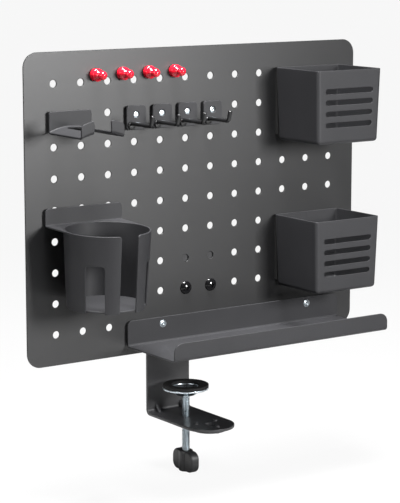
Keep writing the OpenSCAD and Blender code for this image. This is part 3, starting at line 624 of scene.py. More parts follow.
class ORGANIZER_OT_clamp_plate(bpy.types.Operator):
    """Make the folded clamp plate with its pressed ribs, its soft pad, rivets and spare nut"""
    bl_idname = "organizer.clamp_plate"
    bl_label = "Clamp plate"

    def execute(self, context):
        m, edge = materials(), sizes().edge / MM
        # Down behind the panel, forward as the jaw, down as the strip, forward as the lower plate
        back_plate, fold = FACE + PANEL_T, PLATE_FOLD_R
        length, cuts, place = fold_path((back_plate, PLATE_TOP), -90, PLATE_T, [
            PLATE_TOP - JAW_PAD_T - PLATE_T - fold, (fold, 90),
            (THROAT_DEEP - fold) - (back_plate + PLATE_T + fold), (fold, -90),
            THROAT_H + JAW_PAD_T - 2 * fold, (fold, -90),
            (THROAT_DEEP - fold) + TONGUE_TIP], 8)
        tip_r = PLATE_HALF - 0.001  # a hair less than the half width, so that no edge is empty
        corners = (PLATE_TOP_R, PLATE_TOP_R, tip_r, tip_r)
        loops = [rounded_outline(-PLATE_HALF, PLATE_HALF, 0, length, corners, 20)]
        loops += [ring_outline(s * BOLT_X, PLATE_TOP - BOLT_Z, BOLT_HOLE_R, 24) for s in (-1, 1)]
        for from_tip in (TONGUE_TIP, SPARE_FROM_TIP):
            loops.append(ring_outline(0, length - from_tip, SCREW_HOLE_R, 32))
        bm = sheet(loops, PLATE_T, edge * 1.3)
        cut(bm, 1, cuts)
        bend(bm, lambda u, v, w: (u, *place(v, w)))
        piece("clamp_plate", bm, "base", m["clamp"], ["clamp_bracket"])
        ribs = []
        foot_y, foot_z = THROAT_DEEP - RIB_SINK, RIB_SINK - THROAT_H
        triangle = [(foot_y, foot_z), (foot_y, foot_z + RIB_LEG), (foot_y - RIB_LEG, foot_z)]
        for s in (-1, 1):
            rib = sheet([triangle], RIB_T, 1.3, 4)
            bend(rib, lambda u, v, w, s=s: (s * RIB_X - RIB_T / 2 + w, u, v))
            ribs.append(rib)
        piece("clamp_ribs", join(*ribs), "base", m["clamp"])
        pad_half = PLATE_HALF - JAW_PAD_SIDE
        pad = rounded_outline(-pad_half, pad_half, JAW_PAD_FRONT, JAW_PAD_BACK, (1.5,) * 4, 5)
        bm = sheet([pad], JAW_PAD_T, 0.5)
        piece("jaw_cushion", bm, "base", m["pad"], ["jaw_pad"])
        spare_y = SPARE_FROM_TIP - TONGUE_TIP
        rivets = []
        for i in range(PLATE_RIVETS):
            a = math.radians(i * 360 / PLATE_RIVETS - 90)
            # Low crown, shank through both plates, and the closed head below them
            profile = [(0, 2), (0.8, 1.95), (1.6, 1.65), (2.2, 1.05), (2.6, 0.35), (2.75, 0), (1.45, 0),
                       (1.45, -6), (2.4, -6), (2.2, -6.5), (1.2, -6.9), (0, -7)]
            one = lathe(profile, 28)
            bend(one, lambda p, q, h, a=a: (
                PLATE_RIVET_RING_R * math.cos(a) + p, spare_y + PLATE_RIVET_RING_R * math.sin(a) + q,
                h - THROAT_H))
            rivets.append(one)
        piece("plate_rivet_heads", join(*rivets), "base", m["clamp"], ["plate_rivets"])
        rims = [ring_outline(0, spare_y, SPARE_NUT_R, 64), ring_outline(0, spare_y, SPARE_BORE_R, 32)]
        bm = sheet(rims, SPARE_NUT_T, 0.6)
        bend(bm, lambda u, v, w: (u, v, w - THROAT_H - PLATE_T - SPARE_NUT_T))
        piece("spare_nut_disc", bm, "base", m["clamp"], ["spare_nut_plate"])
        return {"FINISHED"}


class ORGANIZER_OT_fasteners(bpy.types.Operator):
    """Make the two pan-head screws with their cross recesses, their nuts and the welded nut"""
    bl_idname = "organizer.fasteners"
    bl_label = "Screws and nuts"

    def execute(self, context):
        m = materials()
        heads = []
        for s in (-1, 1):
            dome = [(0, 3.8), (1.5, 3.7), (3.0, 3.38), (4.4, 2.75), (5.5, 1.95), (6.2, 1.35), (6.5, 0.7),
                    (6.45, 0.15), (6.3, 0), (3, 0), (3, -11.5), (0, -11.5)]
            head = lathe(dome, 48)
            bend(head, outward(s * BOLT_X, FACE, BOLT_Z))
            heads.append(head)
        obj = piece("panel_screws", join(*heads), "base", m["screws"], ["board_screws"])
        # The cross recess, as a cutter of two wedges that narrow towards the bottom
        long, thin, floor, above, narrowing = 3.2, 0.65, 1.6, 4.6, 0.7
        cross = []
        for s in (-1, 1):
            for a, b in ((thin, long), (long, thin)):
                bm = bmesh.new()
                square = ((-a, -b), (a, -b), (a, b), (-a, b))
                low = [bm.verts.new((x * narrowing, y * narrowing, floor)) for x, y in square]
                top = [bm.verts.new((x, y, above)) for x, y in square]
                bm.faces.new(low[::-1])
                bm.faces.new(top)
                skin(bm, [low, top], 4)
                bend(bm, outward(s * BOLT_X, FACE, BOLT_Z))
                cross.append(bm)
        cutter_mesh = bpy.data.meshes.new("cross_cutter")
        bm = join(*cross)
        bmesh.ops.recalc_face_normals(bm, faces=bm.faces)
        bmesh.ops.scale(bm, vec=(MM, MM, MM), verts=bm.verts)
        bm.to_mesh(cutter_mesh)
        bm.free()
        cutter = bpy.data.objects.new("cross_cutter", cutter_mesh)
        bpy.context.scene.collection.objects.link(cutter)
        carve = obj.modifiers.new("cross", "BOOLEAN")
        carve.operation, carve.object, carve.solver, carve.use_self = "DIFFERENCE", cutter, "EXACT", True
        obj.modifiers.move(1, 0)
        bpy.context.view_layer.update()
        carved = bpy.data.meshes.new_from_object(obj.evaluated_get(bpy.context.evaluated_depsgraph_get()))
        obj.modifiers.clear()
        obj.data = carved
        bpy.data.objects.remove(cutter)
        nuts = []
        for s in (-1, 1):
            nut = hex_form(BOLT_NUT_AF, BOLT_NUT_H, BOLT_NUT_BORE_R)
            bend(nut, outward(s * BOLT_X, FACE + PANEL_T + PLATE_T + BOLT_NUT_H, BOLT_Z))
            nuts.append(nut)
        piece("panel_nuts", join(*nuts), "base", m["zinc"], ["board_nuts"], smooth=25)
        nut = hex_form(CLAMP_NUT_AF, CLAMP_NUT_H, CLAMP_NUT_BORE_R)
        bend(nut, lambda a, b, h: (a, b, h - THROAT_H - PLATE_T - CLAMP_NUT_H))
        piece("welded_nut", nut, "base", m["zinc"], ["clamp_nut"], smooth=25)
        return {"FINISHED"}


def hex_form(af, height, bore, steps=48):
    """Hexagonal nut with chamfered corners and a countersunk bore."""
    bm = bmesh.new()
    corner = af / 2 / math.cos(math.pi / 6)
    blunt, chamfer = corner * 0.93, 0.5
    rows = []
    for h, widest in ((0, blunt), (chamfer, corner), (height - chamfer, corner), (height, blunt)):
        row = []
        for i in range(steps):
            a = 2 * math.pi * i / steps
            flat = af / 2 / math.cos((a + math.pi / 6) % (math.pi / 3) - math.pi / 6)
            r = min(flat, widest)
            row.append(bm.verts.new((r * math.cos(a), r * math.sin(a), h)))
        rows.append(row)
    for r, h in ((bore + chamfer, height), (bore, height - chamfer), (bore, chamfer), (bore + chamfer, 0)):
        rows.append([bm.verts.new((a, b, h)) for a, b in ring_outline(0, 0, r, steps)])
    skin(bm, rows + rows[:1], steps)
    return bm


def thread_form(outer, inner, pitch, low, high, steps=36):
    """Rolled thread: one crest that climbs by a pitch in each turn, on a plain core."""
    bm = bmesh.new()
    blunt = outer - 0.06
    profile = [(inner, 0.0), (inner, 0.12), (blunt, 0.42), (outer, 0.5), (blunt, 0.58), (inner, 0.88)]
    turns = int((high - low) / pitch) - 1
    grid = []
    for i in range(turns * steps + 1):
        a = 2 * math.pi * i / steps
        grid.append([bm.verts.new((r * math.cos(a), r * math.sin(a), low + pitch * (i / steps + k)))
                     for r, k in profile])
    for i in range(turns * steps):
        a, b = grid[i], grid[i + 1]
        for k in range(len(profile) - 1):
            bm.faces.new((a[k], b[k], b[k + 1], a[k + 1]))
        if i + steps < len(grid) - 1:
            bm.faces.new((a[-1], b[-1], grid[i + steps + 1][0], grid[i + steps][0]))
    return bm


class ORGANIZER_OT_clamp_screw(bpy.types.Operator):
    """Make the threaded clamp screw, its knob, the pressed dish and the rubber ring"""
    bl_idname = "organizer.clamp_screw"
    bl_label = "Clamp screw, knob and dish"

    def execute(self, context):
        m = materials()
        pitch, depth = sizes().thread_pitch / MM, sizes().thread_depth / MM
        core = ROD_R - depth
        neck = ROD_SHOULDER + 1.0
        # Core, shoulder, the neck on which the dish turns, and the peened end above it
        turned = [(0, ROD_LOW), (core, ROD_LOW), (core, ROD_SHOULDER), (3.9, ROD_SHOULDER + 0.4),
                  (3.9, neck), (3.0, neck), (3.0, neck + 1.7), (5.5, neck + 1.7), (5.4, neck + 2.2),
                  (4.6, neck + 3.2), (3.0, neck + 3.9), (1.2, neck + 4.18), (0, neck + 4.2)]
        thread = thread_form(ROD_R, core - 0.02, pitch, ROD_LOW + 0.4, ROD_SHOULDER + 0.2)
        rod = join(lathe(turned, 40), thread)
        piece("threaded_rod", rod, "screw", m["thread"], ["clamp_screw"])
        paddle = rounded_outline(-KNOB_HALF, KNOB_HALF, KNOB_LOW, KNOB_HIGH, (KNOB_CORNER_R,) * 4, 10)
        blade = sheet([paddle], KNOB_T, 2.2, 6)
        bend(blade, lambda u, v, w: (w - KNOB_T / 2, u, v))
        seat_r, seat = 4.15, KNOB_HIGH - 1
        hub = [(0, KNOB_LOW), (KNOB_HUB_R, KNOB_LOW), (KNOB_HUB_R, KNOB_HIGH), (seat_r, KNOB_HIGH),
               (seat_r, seat), (0, seat)]
        hub = lathe(rounded_profile(hub, 1.2), 48)
        piece("grip_knob", join(blade, hub), "screw", m["knob"], ["screw_knob"])
        dish = [(3.1, -7.9), (10, -7.9), (17.5, -2.0), (DISH_R, -2.0), (DISH_R, 0), (RING_BORE_R, 0),
                (RING_BORE_R, -0.8), (8.4, -6.3), (3.1, -6.3), (3.1, -7.9)]
        form = lathe([(r, DISH_Z + h) for r, h in rounded_profile(dish, 0.7)], 72)
        piece("pressed_dish", form, "disc", m["zinc"], ["clamp_disc"])
        # The profile starts and ends in the middle of its lower side, so all four corners are rounded
        middle = (RING_BORE_R + DISH_R) / 2
        ring = [(middle, 0.0), (DISH_R, 0.0), (DISH_R, RING_T), (RING_BORE_R, RING_T), (RING_BORE_R, 0.0),
                (middle, 0.0)]
        form = lathe([(r, DISH_Z + h) for r, h in rounded_profile(ring, 0.6)], 72)
        piece("rubber_ring", form, "disc", m["rubber"], ["disc_rubber"])
        return {"FINISHED"}


class ORGANIZER_OT_tray(bpy.types.Operator):
    """Make the folded pen tray with its magnet strip and rivets"""
    bl_idname = "organizer.tray"
    bl_label = "Pen tray"

    def execute(self, context):
        m, edge = materials(), sizes().edge / MM
        x, t, fold = col_x(TRAY_COL), TRAY_T, TRAY_FOLD_R
        front = FACE - PAD - t
        lip_inner = FACE - TRAY_REACH + t
        length, cuts, place = fold_path((front, TRAY_Z + TRAY_BACK_H), -90, t, [
            TRAY_BACK_H - t - fold, (fold, -90), (front - fold) - (lip_inner + fold), (fold, -90),
            TRAY_LIP_H - t - fold], 6)
        corners = (TRAY_BACK_R, TRAY_BACK_R, TRAY_LIP_R, TRAY_LIP_R)
        loops = [rounded_outline(x - TRAY_HALF, x + TRAY_HALF, 0, length, corners, 8)]
        hole_v, hole_r = TRAY_BACK_H - TRAY_RIVET_H, 1.6
        loops += [ring_outline(x + s * TRAY_RIVET_SIDE, hole_v, hole_r, 20) for s in (-1, 1)]
        bm = sheet(loops, t, edge)
        cut(bm, 1, cuts)
        bend(bm, lambda u, v, w: (u, *place(v, w)))
        piece("folded_tray", bm, "tray", m["coat"], ["tray"])
        rivets, seats = [], []
        for s in (-1, 1):
            rivet_x, rivet_z = x + s * TRAY_RIVET_SIDE, TRAY_Z + TRAY_RIVET_H
            seat = lathe([(1.6, 0.02), (3.1, 0.02), (3.5, 0.12), (3.65, 0.1), (3.8, 0.0)], 32)
            bend(seat, outward(rivet_x, front, rivet_z))
            seats.append(seat)
            rivets.append(rivet_form(rivet_x, front + 0.02, rivet_z))
        magnet_pad("tray_magnet_strip", "tray", "tray_magnets", x, TRAY_Z, TRAY_HALF - PAD_INSET,
                   t + PAD_INSET, TRAY_BACK_H - PAD_INSET, (0.4, 0.4, 3.5, 3.5))
        piece("tray_rivet_heads", join(*rivets, *seats), "tray", m["zinc"], ["tray_rivets"])
        return {"FINISHED"}


class ORGANIZER_OT_bins(bpy.types.Operator):
    """Make the two open bins with slotted fronts and their magnet blocks"""
    bl_idname = "organizer.bins"
    bl_label = "Slotted bins"

    def execute(self, context):
        m, edge = materials(), sizes().edge / MM
        for name, row in BIN_ROWS:
            x, z, body = col_x(BIN_COL), row_z(row) + BIN_RISE, f"bin_{name}"
            piece(f"{body}_shell", bin_form(x, z, edge), body, m["coat"], [body])
            # The black magnet block fills the tapering gap behind the bin, and its black is partly painted
            # shade for that gap.
            wedge = [(0.0, -BIN_BLOCK_HIGH), (0.0, -BIN_BLOCK_LOW),
                     (-BIN_BLOCK_DEEP_LOW, -BIN_BLOCK_LOW), (-BIN_BLOCK_DEEP_HIGH, -BIN_BLOCK_HIGH)]
            block = sheet([wedge], BIN_BLOCK_T, 0.3)
            bend(block, lambda u, v, w: (x - BIN_BLOCK_T / 2 + w, FACE + u, z + v))
            piece(f"{body}_block", block, body, m["pad"], [f"{body}_magnet"])
        return {"FINISHED"}


def bin_form(x, z, edge):
    """A bin from one strip round its four walls, leaning in towards a rounded bottom."""
    t, r, rim = BIN_T, BIN_CORNER_R, BIN_RIM_H
    straight = BIN_H - r
    half, back, front = BIN_HALF, BIN_BACK, BIN_FRONT

    def sides(v):
        """Half width, back and front of the outer walls at a depth below the rim."""
        k = max(0.0, (min(v, straight) - rim) / (straight - rim))
        return half - BIN_SIDE_LEAN * k, back + BIN_BACK_LEAN * k, front - BIN_FRONT_LEAN * k

    quarter = r * math.pi / 2
    w0, d0 = 2 * (half - r), (front - back) - 2 * r
    # Segments of the strip: half the back, corner, side, corner, front, corner, side, corner, half the back
    marks = [0.0]
    for length in (w0 / 2, quarter, d0, quarter, w0, quarter, d0, quarter, w0 / 2):
        marks.append(marks[-1] + length)
    total = marks[-1]
    depth = straight + quarter
    middle = marks[4] + w0 / 2
    loops = [[(0, -depth), (total, -depth), (total, 0), (0, 0)]]
    loops += [slot_outline(middle, -BIN_FIRST_SLOT - BIN_SLOT_PITCH * i, BIN_SLOT_W, BIN_SLOT_H)
              for i in range(BIN_SLOTS)]
    bm = sheet(loops, t, edge, seam=((0, 0.0), (0, total), (1, -depth)))
    for k in (1, 3, 5, 7):
        cut(bm, 0, [marks[k] + quarter * i / 6 for i in range(7)])
    cut(bm, 1, [-rim] + [-straight - quarter * i / 6 for i in range(6)])

    def place(u, v, w):
        down = min(-v, straight)
        bottom = max(0.0, (-v - straight) / r)
        hw, yb, yf = sides(down)
        # The wall's distance out from the lines that its corner centres stand on
        out = (r - w) * math.cos(bottom)
        low = down + (r - w) * math.sin(bottom) if bottom else down
        left, right, near, far = -(hw - r), hw - r, yf - r, yb + r
        k = max(i for i in range(9) if u >= marks[i] - 1e-6)
        f = min(1.0, (u - marks[k]) / (marks[k + 1] - marks[k]))
        c, n = math.cos(f * math.pi / 2), math.sin(f * math.pi / 2)
        # Corner centre or place along the wall, and the way the wall faces, segment by segment
        px, py, nx, ny = (
            (left * f, far, 0, -1), (left, far, -n, -c), (left, far + (near - far) * f, -1, 0),
            (left, near, -c, n), (left + (right - left) * f, near, 0, 1), (right, near, n, c),
            (right, near + (far - near) * f, 1, 0), (right, far, c, -n), (right * (1 - f), far, 0, -1))[k]
        return (x + px + nx * out, FACE - (py + ny * out), z - low)

    bend(bm, place)
    bmesh.ops.remove_doubles(bm, verts=bm.verts, dist=0.002)
    rims = [e for e in bm.edges if e.is_boundary]
    bmesh.ops.holes_fill(bm, edges=rims, sides=0)
    return bm


class ORGANIZER_OT_cup(bpy.types.Operator):
    """Make the cup holder: ring wall with windows and handle slot, shelf, flange and floor"""
    bl_idname = "organizer.cup"
    bl_label = "Cup holder"

    def execute(self, context):
        m, edge = materials(), sizes().edge / MM
        x, z = col_x(CUP_COL), row_z(CUP_ROW) - CUP_DROP
        t, high, sag = CUP_T, CUP_H, math.radians(CUP_SAG)
        axis_y = FACE - CUP_REACH
        flange_front = FACE - PAD - t
        fold = Vector((flange_front - CUP_FOLD_R, z + CUP_FOLD_R))

        def tipped(px, py, pz):
            """Tips a point of the cup forward about the middle of its fold."""
            turned = Matrix.Rotation(sag, 2) @ (Vector((py, pz)) - fold)
            return (px, fold.x + turned.x, fold.y + turned.y)

        def edges(r):
            """Directions, at a radius, of the handle slot's and the side windows' straight edges."""
            slot, window = math.asin(CUP_SLOT_W / 2 / r), math.asin(CUP_WINDOW_W / 2 / r)
            right, left = (math.radians(a) for a in CUP_WINDOWS)
            return [slot - math.pi / 2, right - window, right + window, left - window, left + window,
                    math.pi * 1.5 - slot]

        # Wall: flat strip from one side of the handle slot round to the other, u along the rim
        marks = [(a - edges(CUP_RIM_R)[0]) * CUP_RIM_R for a in edges(CUP_RIM_R)]
        total = marks[-1]
        c = CUP_CUT_R
        loop = [(0, -high)]
        for near, far in ((marks[1], marks[2]), (marks[3], marks[4])):
            loop += [(near, -high), *arc(near + c, -CUP_WINDOW_TOP, c, 180, -90, 6),
                     *arc(far - c, -CUP_WINDOW_TOP, c, 90, -90, 6), (far, -high)]
        loop += [(total, -high), *arc(total - c, -c, c, 0, 90, 6), *arc(c, -c, c, 90, 90, 6)]
        bm = sheet([loop], t, edge * 1.3)
        cut(bm, 0, [total * i / 96 for i in range(1, 96)])
        cut(bm, 1, [-high * i / 4 for i in range(1, 4)])

        def wall(u, v, w):
            r = CUP_FOOT_R + (CUP_RIM_R - CUP_FOOT_R) * (v + high) / high
            k = max(i for i in range(5) if i == 0 or u >= marks[i])
            a0, a1 = edges(r)[k:k + 2]
            a = a0 + (a1 - a0) * (u - marks[k]) / (marks[k + 1] - marks[k])
            return tipped(x + (r - w) * math.cos(a), axis_y + (r - w) * math.sin(a), z + v)

        bend(bm, wall)
        # Shelf and flange in one folded sheet, cut out along the ring
        shelf_deep = flange_front - CUP_FOLD_R - axis_y
        length, cuts, place = fold_path((flange_front, z + CUP_FLANGE_H), -90, t, [
            CUP_FLANGE_H - CUP_FOLD_R, (CUP_FOLD_R, CUP_SAG - 90), shelf_deep], 6)
        fold_end = length - shelf_deep
        inset = CUP_FLANGE_HALF - CUP_FLANGE_R
        meets, cutout = CUP_RIM_R - 0.05, CUP_RIM_R - 0.2  # where the shelf ends inside the wall
        outline = [*arc(-inset, CUP_FLANGE_R, CUP_FLANGE_R, 180, 90, 6),
                   *arc(inset, CUP_FLANGE_R, CUP_FLANGE_R, 270, 90, 6),
                   (CUP_FLANGE_HALF, fold_end), (meets, length), (cutout, length),
                   *arc(0, length, cutout, 0, -180, 48)[1:-1], (-cutout, length),
                   (-meets, length), (-CUP_FLANGE_HALF, fold_end)]
        shelf = sheet([outline], t, edge)
        cut(shelf, 1, cuts)
        bend(shelf, lambda u, v, w: (x + u, *place(v, w)))
        piece("cup_ring", join(bm, shelf), "cup", m["coat"], ["cup_holder"])
        disc = sheet([ring_outline(0, 0, CUP_FLOOR_R, 96)], t, 0.5)
        bend(disc, lambda u, v, w: tipped(x + u, axis_y + v, z - high + CUP_FLOOR_H - w))
        piece("cup_base_disc", disc, "cup", m["coat"], ["cup_floor"])
        magnet_pad("cup_magnet_strip", "cup", "cup_magnet", x, z, CUP_FLANGE_HALF - PAD_INSET,
                   CUP_FOLD_R, CUP_FLANGE_H - PAD_INSET, (0.3, 0.3, 2, 2))
        return {"FINISHED"}


class ORGANIZER_OT_hanger(bpy.types.Operator):
    """Make the two-prong headset hanger from one arched and folded sheet"""
    bl_idname = "organizer.hanger"
    bl_label = "Headset hanger"

    def execute(self, context):
        m, edge = materials(), sizes().edge / MM
        x, z = col_x(HANGER_COL), row_z(HANGER_ROW) - HANGER_DROP
        half, t, fold, r, notch = HANGER_W / 2, HANGER_T, HANGER_FOLD_R, HANGER_R, HANGER_NOTCH_R
        arch_r = (half * half + HANGER_RISE * HANGER_RISE) / (2 * HANGER_RISE)

        def arch(u):
            """How far the arched sheet stands above its sides."""
            u = max(-half, min(half, u))
            return math.sqrt(arch_r * arch_r - u * u) - arch_r + HANGER_RISE

        back_y = FACE - PAD - t
        lip_y = FACE - HANGER_REACH + t
        down, out = HANGER_H - t - fold, (back_y - fold) - (lip_y + fold)
        length, cuts, place = fold_path(
            (back_y, HANGER_H), -90, t, [down, (fold, -90), out, (fold, -90), HANGER_LIP_H - t - fold], 5)
        # The notch's round back end, counted along the sheet
        notch_v = down + fold * math.pi / 2 + (back_y - fold) - (FACE - HANGER_NOTCH_BACK - notch)
        along = [(-20 + 2.0 * i, 0.0) for i in range(21)]
        top = arc(r - half, r, r, 180) + along + arc(half - r, r, r, 270)
        outline = [(u, v + arch(u)) for u, v in top]
        outline += [*arc(half - r, length - r, r, 0), *arc(notch + r, length - r, r, 90),
                    *arc(0, notch_v, notch, 0, -180, 16),
                    *arc(-notch - r, length - r, r, 0), *arc(r - half, length - r, r, 90)]
        bm = sheet([outline], t, edge * 1.2)
        cut(bm, 1, cuts)
        cut(bm, 0, [-22 + 2 * i for i in range(23)])

        def placed(u, v, w):
            y, h = place(v, w)
            return (x + u, y, z + h + arch(u))

        bend(bm, placed)
        piece("hanger_fork", bm, "hanger", m["coat"], ["headset_hanger"])
        magnet_pad("hanger_magnet_pad", "hanger", "hanger_magnet", x, z, half - PAD_INSET,
                   HANGER_RISE + PAD_INSET, HANGER_H - PAD_INSET, (1,) * 4, 4)
        return {"FINISHED"}


class ORGANIZER_OT_hooks(bpy.types.Operator):
    """Make the four hooks: plate, bent wire with its welded root, magnet pad and rivet"""
    bl_idname = "organizer.hooks"
    bl_label = "Hooks"

    def execute(self, context):
        m, edge = materials(), sizes().edge / MM
        front = FACE - PAD - HOOK_T
        lean = math.radians(HOOK_TIP_LEAN)
        for i, column in enumerate(HOOK_COLS, 1):
            x, z, body = col_x(column), row_z(HOOK_ROW) - HOOK_DROP - HOOK_RIVET_H, f"hook_{i}"
            loops = [rounded_outline(-HOOK_HALF, HOOK_HALF, 0, HOOK_H, (HOOK_CORNER_R,) * 4, 8),
                     ring_outline(0, HOOK_RIVET_H, 3.3, 32)]
            bm = flat_part(loops, HOOK_T, edge, x, front, z)
            piece(f"{body}_tab", bm, body, m["coat"], [f"{body}_plate"])
            magnet_pad(f"{body}_pad", body, f"{body}_magnet", x, z, HOOK_HALF - PAD_INSET,
                       PAD_INSET, HOOK_H - PAD_INSET, (2,) * 4)
            bm = rivet_form(x, front + 0.75, z + HOOK_RIVET_H, length=2.5)
            piece(f"{body}_rivet_head", bm, body, m["zinc"], [f"{body}_rivet"])
            # Wire: straight out, a bend up, and a tip that leans out
            rx, rz = x - HOOK_ROD_SIDE, z + HOOK_ROD_H
            bend_y = FACE - HOOK_BEND_OUT
            line = [(rx, front + 0.3, rz), (rx, front - 8, rz), (rx, front - 18, rz)]
            for k in range(11):
                a = (math.pi / 2 - lean) * k / 10
                line.append((rx, bend_y - HOOK_BEND_R * math.sin(a), rz + HOOK_BEND_R * (1 - math.cos(a))))
            end = Vector(line[-1])
            up = Vector((0, -math.sin(lean), math.cos(lean)))
            line += [tuple(end + up * d) for d in (2.5, 5.0, 7.0)]
            wire = tube(line, HOOK_ROD_R, 24)
            boss = lathe(rounded_profile([(0, 2.2), (1.6, 2.2), (3.6, 2.0), (4.0, 1.0), (4.0, 0)], 0.7), 32)
            bend(boss, outward(rx, front, rz - 2.3))
            piece(f"{body}_wire", join(wire, boss), body, m["rod"], [f"{body}_rod"])
        return {"FINISHED"}


class ORGANIZER_OT_pins(bpy.types.Operator):
    """Make the four turned-looking push pins and the magnets in their bases"""
    bl_idname = "organizer.pins"
    bl_label = "Push pins"

    def execute(self, context):
        m = materials()
        socket_r = PIN_MAGNET_R + PIN_MAGNET_GAP
        ball = arc(0, PIN_H - PIN_BALL_R, PIN_BALL_R, -57, 147, 14)[:-1]
        for i, column in enumerate(PIN_COLS, 1):
            x, z, body = col_x(column), row_z(0) + PIN_RISE, f"pin_{i}"
            # Foot, waist and ball of the cap, and the socket for its magnet
            profile = [(socket_r, 0.0), (5.85, 0.0), (6.15, 0.15), (6.25, 0.5), (6.25, 4.7), (6.1, 5.3),
                       (5.5, 5.8), (4.7, 6.4), (4.0, 7.1), (3.3, 7.9), (2.75, 8.6), (2.4, 9.2),
                       *ball, (0, PIN_H)]
            cavity = lathe([(0, PIN_MAGNET_T), (socket_r, PIN_MAGNET_T), (socket_r, 0.0)], 48)
            whole = join(lathe(profile, 48), cavity)
            bend(whole, outward(x, FACE, z))
            piece(f"{body}_body", whole, body, m["pin"], [f"{body}_cap"])
            disc = [(0, PIN_MAGNET_T), (PIN_MAGNET_R, PIN_MAGNET_T), (PIN_MAGNET_R, 0), (0, 0)]
            magnet = lathe(rounded_profile(disc, 0.3), 40)
            bend(magnet, outward(x, FACE, z))
            piece(f"{body}_disc", magnet, body, m["nickel"], [f"{body}_magnet"])
        return {"FINISHED"}


def area_light(name, place, aim, size, power, spread):
    """Square soft light that looks at a point; places in metres, power in watts, spread in degrees."""
    data = bpy.data.lights.new(name, "AREA")
    data.shape = "RECTANGLE"
    data.size = data.size_y = size
    data.energy, data.spread = power, math.radians(spread)
    obj = bpy.data.objects.new(name, data)
    bpy.context.scene.collection.objects.link(obj)
    obj.location = place
    obj.rotation_mode = "QUATERNION"
    obj.rotation_quaternion = (Vector(aim) - Vector(place)).to_track_quat("-Z", "Y")
    return obj


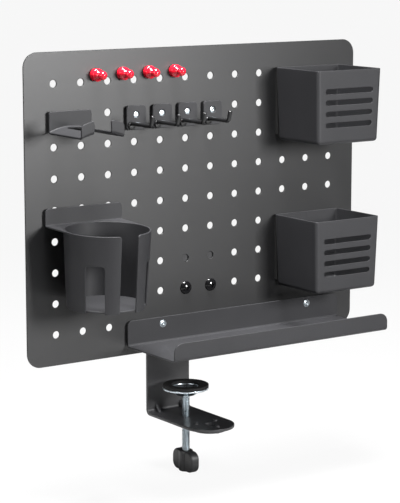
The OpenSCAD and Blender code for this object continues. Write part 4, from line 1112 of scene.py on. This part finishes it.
class ORGANIZER_OT_stage(bpy.types.Operator):
    """Make the camera, the soft studio light, the pale floor and its backdrop"""
    bl_idname = "organizer.stage"
    bl_label = "Stage"

    def execute(self, context):
        scene = context.scene
        camera = bpy.data.objects.new("camera", bpy.data.cameras.new("camera"))
        scene.collection.objects.link(camera)
        # Fitted to the photograph's view: where the camera stands and which way it looks
        stand = (-1.0724, -1.5641, 0.4165)
        right = Vector((0.8204, -0.5718, 0.0)).normalized()
        back = Vector((-0.5637, -0.8088, 0.168)).normalized()
        up = back.cross(right).normalized()
        axes = Matrix((right, up, back)).transposed()
        camera.matrix_world = Matrix.Translation(stand) @ axes.to_4x4()
        camera.data.lens, camera.data.sensor_width = 136.48, 36.0
        camera.data.clip_start, camera.data.clip_end = 0.05, 60
        scene.camera = camera

        # Floor and backdrop in one sheet that curves up behind the object
        near, far, half, curve_r, top, floor_z = -6000, 3200, 9000, 1200, 5200, -134.8
        curve = arc(far, curve_r, curve_r, -90, 90, 10)[1:]
        bm = bmesh.new()
        rows = []
        for y, h in [(near, 0), (far, 0), *curve, (far + curve_r, top)]:
            rows.append([bm.verts.new((s * half * MM, y * MM, (h + floor_z) * MM)) for s in (-1, 1)])
        for a, b in zip(rows, rows[1:]):
            bm.faces.new((a[0], a[1], b[1], b[0]))
        mesh = bpy.data.meshes.new("floor")
        bm.to_mesh(mesh)
        bm.free()
        mesh.shade_smooth()
        floor = bpy.data.objects.new("floor", mesh)
        scene.collection.objects.link(floor)
        # Seamless paper, rolled: the object gets little light back from it, and the eye sees it
        # as the white background with a soft shadow
        mat, tree = blank("white_background_paper")
        rays = add_node(tree, "ShaderNodeLightPath")
        paper = add_node(tree, "ShaderNodeBsdfDiffuse", {"Color": srgb("a0a0a0")},
                         {"Normal": raised(tree, noise(tree, 2, 3.0), 0.05, 0.05)})
        glow = add_node(tree, "ShaderNodeEmission", {"Color": (1, 1, 1, 1), "Strength": 1.0})
        share = add_node(tree, "ShaderNodeMath", {1: 0.93}, {0: rays.outputs["Is Camera Ray"]},
                         operation="MULTIPLY")
        close(tree, add_node(tree, "ShaderNodeMixShader", None,
                             {0: share.outputs[0], 1: paper.outputs[0], 2: glow.outputs[0]}))
        mesh.materials.append(mat)

        world = bpy.data.worlds.new("studio")
        scene.world = world
        world.use_nodes = True
        tree = world.node_tree
        tree.nodes.clear()
        rays = add_node(tree, "ShaderNodeLightPath")
        seen = add_node(tree, "ShaderNodeMapRange", {"To Min": 0.05, "To Max": 1.0},
                        {"Value": rays.outputs["Is Camera Ray"]})
        sky = add_node(tree, "ShaderNodeBackground", {"Color": (1, 1, 1, 1)}, {"Strength": seen.outputs[0]})
        add_node(tree, "ShaderNodeOutputWorld", links={"Surface": sky.outputs[0]})

        area_light("key", (0.336, -1.203, 0.397), (0, 0, 0.15), 0.3, 8.5, spread=110)
        area_light("fill", (-2.2, -0.5, 0.7), (0, 0, 0.1), 0.8, 2.2, spread=60)
        area_light("top", (-0.2, -0.3, 1.9), (0, -0.05, 0.1), 0.7, 24, spread=60)

        scene.view_settings.view_transform = "Standard"
        return {"FINISHED"}


STEPS = (
    ORGANIZER_OT_stage, ORGANIZER_OT_panel, ORGANIZER_OT_clamp_plate, ORGANIZER_OT_fasteners,
    ORGANIZER_OT_clamp_screw, ORGANIZER_OT_tray, ORGANIZER_OT_bins, ORGANIZER_OT_cup,
    ORGANIZER_OT_hanger, ORGANIZER_OT_hooks, ORGANIZER_OT_pins,
)


class ORGANIZER_PT_sidebar(bpy.types.Panel):
    bl_idname = "ORGANIZER_PT_sidebar"
    bl_label = "Organizer"
    bl_space_type = "VIEW_3D"
    bl_region_type = "UI"
    bl_category = "Organizer"

    def draw(self, context):
        layout = self.layout
        for group in (context.scene.organizer_finish, context.scene.organizer_sizes):
            box = layout.box()
            for key in group.__annotations__:
                box.prop(group, key)
        for step in STEPS:
            layout.operator(step.bl_idname, text=step.bl_label)


CLASSES = (OrganizerFinish, OrganizerSizes, *STEPS, ORGANIZER_PT_sidebar)


def register():
    for cls in CLASSES:
        bpy.utils.register_class(cls)
    bpy.types.Scene.organizer_finish = bpy.props.PointerProperty(type=OrganizerFinish)
    bpy.types.Scene.organizer_sizes = bpy.props.PointerProperty(type=OrganizerSizes)


def unregister():
    del bpy.types.Scene.organizer_sizes
    del bpy.types.Scene.organizer_finish
    for cls in reversed(CLASSES):
        bpy.utils.unregister_class(cls)


def main():
    register()
    for obj in list(bpy.data.objects):
        if obj.name in ("Cube", "Light", "Camera"):
            bpy.data.objects.remove(obj)
    for step in STEPS:
        area, name = step.bl_idname.split(".")
        getattr(getattr(bpy.ops, area), name)()
    bpy.context.view_layer.update()


if __name__ == "__main__":
    main()
